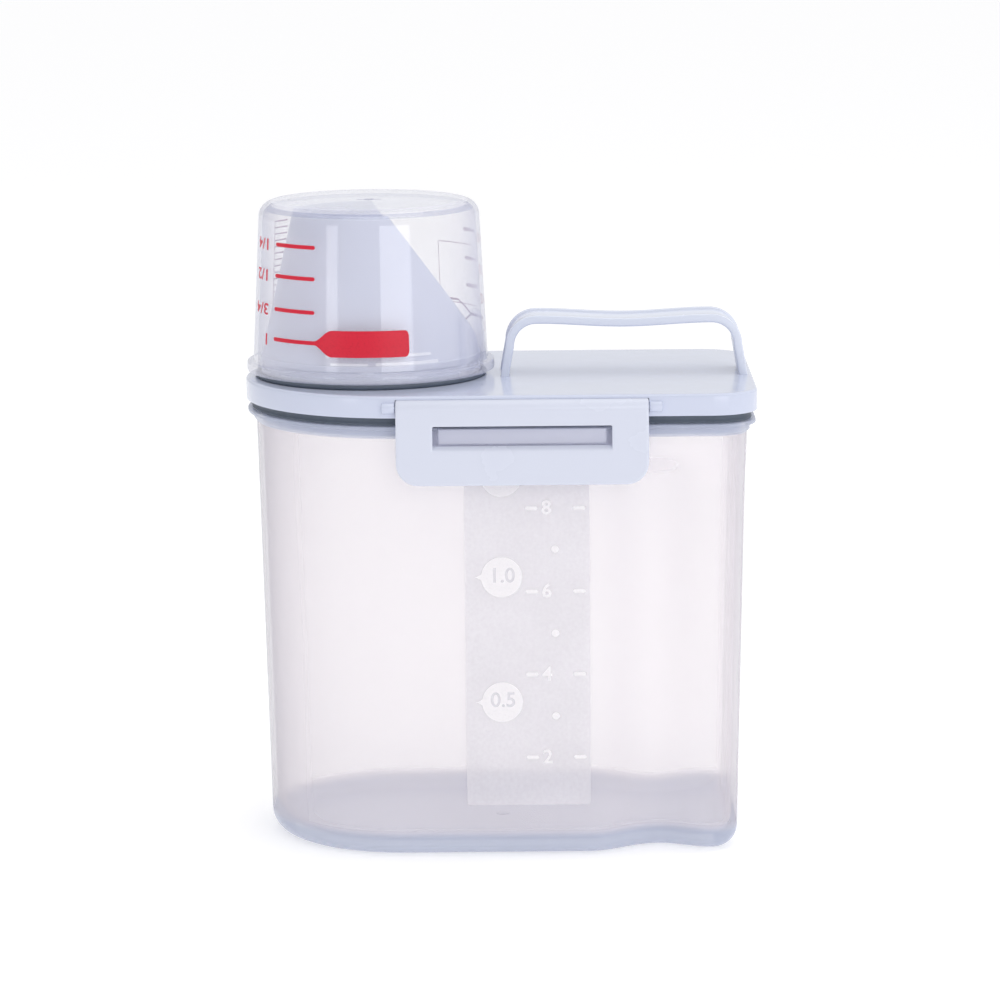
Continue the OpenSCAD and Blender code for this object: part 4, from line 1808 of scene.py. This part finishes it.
@dataclass
class Latch:
    """One flip latch: a plate with a window, on a roll around its pin."""

    bin: Bin
    side: Side
    drop: float = 25.9
    corner: float = 7.5
    top_corner: float = 1.2
    edge: float = 0.5
    window_length: float = 60.0
    window_height: float = 6.5
    window_foot: float = 12.6
    window_bevel: float = 1.7
    window_round: float = 0.3
    window_corner: float = 0.5
    face_margin: float = 0.6
    roll_over: float = 0.03
    roll_ends: tuple[Pair, ...] = ((0.8, 0.0), (0.3, 0.08), (0.1, 0.3), (0.0, 0.6))
    release: float = 4.7

    def sheet(self, inset: float, depth: float) -> Ring:
        """The plate's outline.

        Args:
            inset: How far it is set in.
            depth: How far it lies behind the outer face.

        Returns:
            The points, around the hinge line.
        """
        b = self.bin
        half_z = self.drop / 2
        face = -b.roll_radius + depth
        return [(x, face, z - half_z) for x, z in
                rounded_outline(b.latch_length / 2 - inset, half_z - inset,
                                self.corner - inset, 8, 6, self.top_corner - inset)]

    def window(self, inset: float, depth: float) -> Ring:
        """The window's outline.

        Args:
            inset: How far it is set out into the plate.
            depth: How far it lies behind the outer face.

        Returns:
            The points, around the hinge line.
        """
        b = self.bin
        low = -self.window_foot - self.window_bevel * (1 - depth / b.latch_thickness)
        high = -self.window_foot + self.window_height
        middle, half = (low + high) / 2, (high - low) / 2
        return [(x, -b.roll_radius + depth, z + middle) for x, z in
                rounded_outline(self.window_length / 2 + inset, half + inset,
                                self.window_corner + inset, 8, 6)]

    def build(self) -> None:
        """Builds the latch where it hangs and mounts it."""
        b = self.bin
        thick, edge, sill = b.latch_thickness, self.edge, self.window_round
        margin = self.face_margin
        rings = [self.sheet(edge + margin, 0)]
        rings += [self.sheet(edge - x, edge - y) for x, y in arc((0, 0), edge, 90, 0, 4)]
        rings += [self.sheet(edge - x, thick - edge - y) for x, y in arc((0, 0), edge, 0, -90, 4)]
        rings += [self.sheet(edge + margin, thick), self.window(sill + margin, thick)]
        rings += [self.window(sill - x, thick - sill - y)
                  for x, y in arc((0, 0), sill, -90, 0, 2)]
        rings += [self.window(sill - x, sill - y) for x, y in arc((0, 0), sill, 0, 90, 2)]
        rings += [self.window(sill + margin, 0)]
        plate = Solid().skin(rings, wrap=True).make("plate", LATCH_PLASTIC)
        roll = rod((0, 0, 0), b.roll_radius + self.roll_over, b.latch_length, self.roll_ends)
        bar = Solid().skin(roll, caps=True).make("roll", LATCH_PLASTIC)
        whole = join(f"{self.side.name.lower()}_latch_plate", [plate, bar])
        swing = Matrix.Rotation(math.radians(-self.release), 4, "X")
        place = Matrix.Translation(Vector((b.latch_x, -b.hinge_y, b.hinge_z)) * MM)
        whole.data.transform(place @ swing)
        body, node = Body.FRONT_LATCH, "front_latch"
        if self.side is Side.REAR:
            whole.data.transform(Matrix.Scale(-1, 4, (0, 1, 0)))
            whole.data.flip_normals()
            body, node = Body.REAR_LATCH, "rear_latch"
        mount(whole, body, Slot.LATCH, node)


@dataclass
class CarryStrap:
    """The arched strap, with ribs along its edges."""

    bin: Bin
    width: float = 21.0
    thickness: float = 2.9
    channel: float = 0.9
    rib: float = 2.4
    rise: float = 21.0
    sag: float = 1.2
    bend: float = 10.5
    lean: float = 1.9
    cup_gap: float = 2.0
    end_gap: float = 1.6
    sink: float = 0.4
    under_round: float = 0.7
    crown_round: float = 0.5

    def __post_init__(self) -> None:
        """Works out where the feet stand."""
        b = self.bin
        self.left = b.cup_x + b.cup_radius + b.cup_flange_out + self.cup_gap
        self.right = b.rim_length / 2 + b.lid_out - self.end_gap

    def half_line(self) -> list[Pair]:
        """The strap's middle line, from a foot to its middle.

        Returns:
            The points, as distance from the foot and height.
        """
        b = self.bin
        half = self.thickness / 2
        top = b.lid_top + self.rise - half
        bend = self.bend - half
        leg = half + self.lean
        line = [(half, b.lid_top - self.sink),
                (half + self.lean * 0.5, b.lid_top + (self.rise - self.bend) / 2),
                (leg, top - bend)]
        line += [(leg + bend * (1 - math.cos(math.radians(a))),
                  top - bend * (1 - math.sin(math.radians(a)))) for a in spaced(6, 90, 14)]
        start = leg + bend
        length = (self.right - self.left) / 2
        line += [(start + (length - start) * s, top - self.sag * ease(s))
                 for s in spaced(0, 1, 12)[1:]]
        return line

    def section(self) -> list[Pair]:
        """The strap's section.

        Returns:
            The points, as height off the middle line and place across.
        """
        half, wide = self.thickness / 2, self.width / 2
        low, root = half - self.channel, wide - self.rib
        under, crown = self.under_round, self.crown_round
        slope = [(half, 0.4), (half - 0.15, 0.1), (low + 0.1, -0.15), (low, -0.5)]
        points = arc((-half + under, -wide + under), under, 270, 180, 4)
        points += arc((-half + under, wide - under), under, 180, 90, 4)
        points += arc((half - crown, wide - crown), crown, 90, 0, 4)
        points += [(up, root + across) for up, across in slope]
        points += [(up, -root - across) for up, across in reversed(slope)]
        points += arc((half - crown, -wide + crown), crown, 0, -90, 4)
        return points

    def build(self) -> None:
        """Builds the strap and mounts it."""
        half = self.half_line()
        line = [(self.left + x, z) for x, z in half]
        line += [(self.right - x, z) for x, z in reversed(half[:-1])]
        rings = []
        for i, (x, z) in enumerate(line):
            before, after = line[max(i - 1, 0)], line[min(i + 1, len(line) - 1)]
            along = (after[0] - before[0], after[1] - before[1])
            size = math.hypot(*along)
            side = (-along[1] / size, along[0] / size)
            rings.append([(x + side[0] * u, v, z + side[1] * u) for u, v in self.section()])
        strap = Solid().skin(rings, caps=True).make("strap_body", STRAP_PLASTIC, 40)
        mount(strap, Body.LID, Slot.STRAP, "carry_strap")


@dataclass(frozen=True)
class SoftBox:
    """A soft lamp that the camera doesn't see, with its places in metres and power in watts."""

    name: str
    place: Point
    aim: Point
    size: Pair
    power: float
    diffuse: bool = True
    gloss: bool = True

    def hang(self) -> None:
        """Hangs the lamp in the scene."""
        lamp = bpy.data.lights.new(self.name, "AREA")
        lamp.shape = "RECTANGLE"
        lamp.size, lamp.size_y = self.size
        lamp.energy = self.power
        holder = bpy.data.objects.new(self.name, lamp)
        bpy.context.scene.collection.objects.link(holder)
        holder.location = self.place
        look = Vector(self.aim) - Vector(self.place)
        holder.rotation_euler = look.to_track_quat("-Z", "Y").to_euler()
        holder.visible_diffuse = self.diffuse
        holder.visible_glossy = self.gloss
        holder.visible_camera = False


# The last two only show in gloss, as the bright streaks down the cup and the container
LAMPS = (
    SoftBox("top_box", (0.2, -0.2, 1.5), (0, 0, 0.1), (1.4, 1.0), 4.0),
    SoftBox("front_box", (0.8, -1.9, 1.1), (0, 0, 0.1), (1.0, 1.0), 7.0, gloss=False),
    SoftBox("right_bank", (0.472, -0.971, 0.18), (-0.044, 0, 0.18), (0.63, 0.24), 0.82,
            diffuse=False),
    SoftBox("left_strip", (-0.706, -0.879, 0.18), (-0.044, 0, 0.18), (0.23, 0.24), 0.3,
            diffuse=False),
)


@dataclass
class Studio:
    """The pale floor, the backdrop, the lamps and the camera."""

    floor_size: float = 6.0
    distance: float = 1560.0
    height: float = 388.8
    aside: float = 0.09
    pitch: float = 0.17365
    roll: float = -0.009
    lens: float = 164.34
    sensor: float = 36.0
    sight: float = 50.0
    glow: float = 0.6
    glow_above: float = 0.15
    glow_right: float = 0.08
    glow_back: float = 0.2
    shade_left: float = 0.18

    def floor(self) -> None:
        """A plain pale floor."""
        mesh = bmesh.new()
        bmesh.ops.create_grid(mesh, x_segments=2, y_segments=2, size=self.floor_size)
        data = bpy.data.meshes.new("studio_floor")
        mesh.to_mesh(data)
        mesh.free()
        piece("studio_floor", data, FLOOR_PAPER)

    def world(self) -> None:
        """A backdrop that looks white, and lights the bin softly and less from the left."""
        world = bpy.data.worlds.new("studio_air")
        bpy.context.scene.world = world
        world.use_nodes = True
        graph = Graph(world.node_tree)
        where = graph.node("ShaderNodeTexCoord", output="Generated")
        right = graph.part(where, "X")
        back = graph.part(where, "Y")
        up = graph.part(where, "Z")
        left = (0 - right).between(0.1, 0.9)
        glow = (up.between(0.0, 0.9) * self.glow_above + right.between(0.0, 0.9) * self.glow_right
                + back.between(-0.6, 0.4) * self.glow_back - left * self.shade_left + self.glow)
        seen = graph.node("ShaderNodeLightPath", output="Is Camera Ray")
        inputs = {"Color": (1.0, 1.0, 1.0), "Strength": glow + seen * (1.0 - glow)}
        air = graph.node("ShaderNodeBackground", None, inputs)
        graph.node("ShaderNodeOutputWorld", None, {"Surface": air})

    def camera(self) -> None:
        """The camera, a little turned about its own line of sight."""
        ahead = Vector((0, math.cos(self.pitch), -math.sin(self.pitch)))
        right = Vector((1, 0, 0))
        up = right.cross(ahead)
        c, s = math.cos(self.roll), math.sin(self.roll)
        across, above = c * right + s * up, -s * right + c * up
        turn = Matrix((across, above, -ahead)).transposed().to_4x4()
        lens = bpy.data.cameras.new("camera")
        lens.lens = self.lens
        lens.sensor_width = self.sensor
        lens.clip_end = self.sight
        holder = bpy.data.objects.new("camera", lens)
        bpy.context.scene.collection.objects.link(holder)
        eye = (self.aside * MM, -self.distance * MM, self.height * MM)
        holder.matrix_world = Matrix.Translation(eye) @ turn
        bpy.context.scene.camera = holder

    def build(self) -> None:
        """Sets up the studio."""
        self.camera()
        self.floor()
        self.world()
        for lamp in LAMPS:
            lamp.hang()
        bpy.context.scene.view_settings.view_transform = "Standard"


def dress_pins() -> None:
    """Gives the hinge pins, which keep their own meshes, their plastic."""
    for name in ("front_hinge_pin", "rear_hinge_pin"):
        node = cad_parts[name]
        node.data.materials.clear()
        node.data.materials.append(PIN_PLASTIC.material())
        LOG.info("%s: dressed", name)


def main() -> None:
    """Builds every piece in order, then the studio."""
    logging.basicConfig(level=logging.INFO, format="%(name)s: %(message)s")
    shared = Bin()
    builders = [Studio(), Container(shared), ScaleLabel(shared), Lid(shared), Gaskets(shared),
                PourSpout(shared), MeasuringCup(shared), Latch(shared, Side.FRONT),
                Latch(shared, Side.REAR), CarryStrap(shared)]
    for builder in builders:
        builder.build()
    dress_pins()


if __name__ == "__main__":
    main()
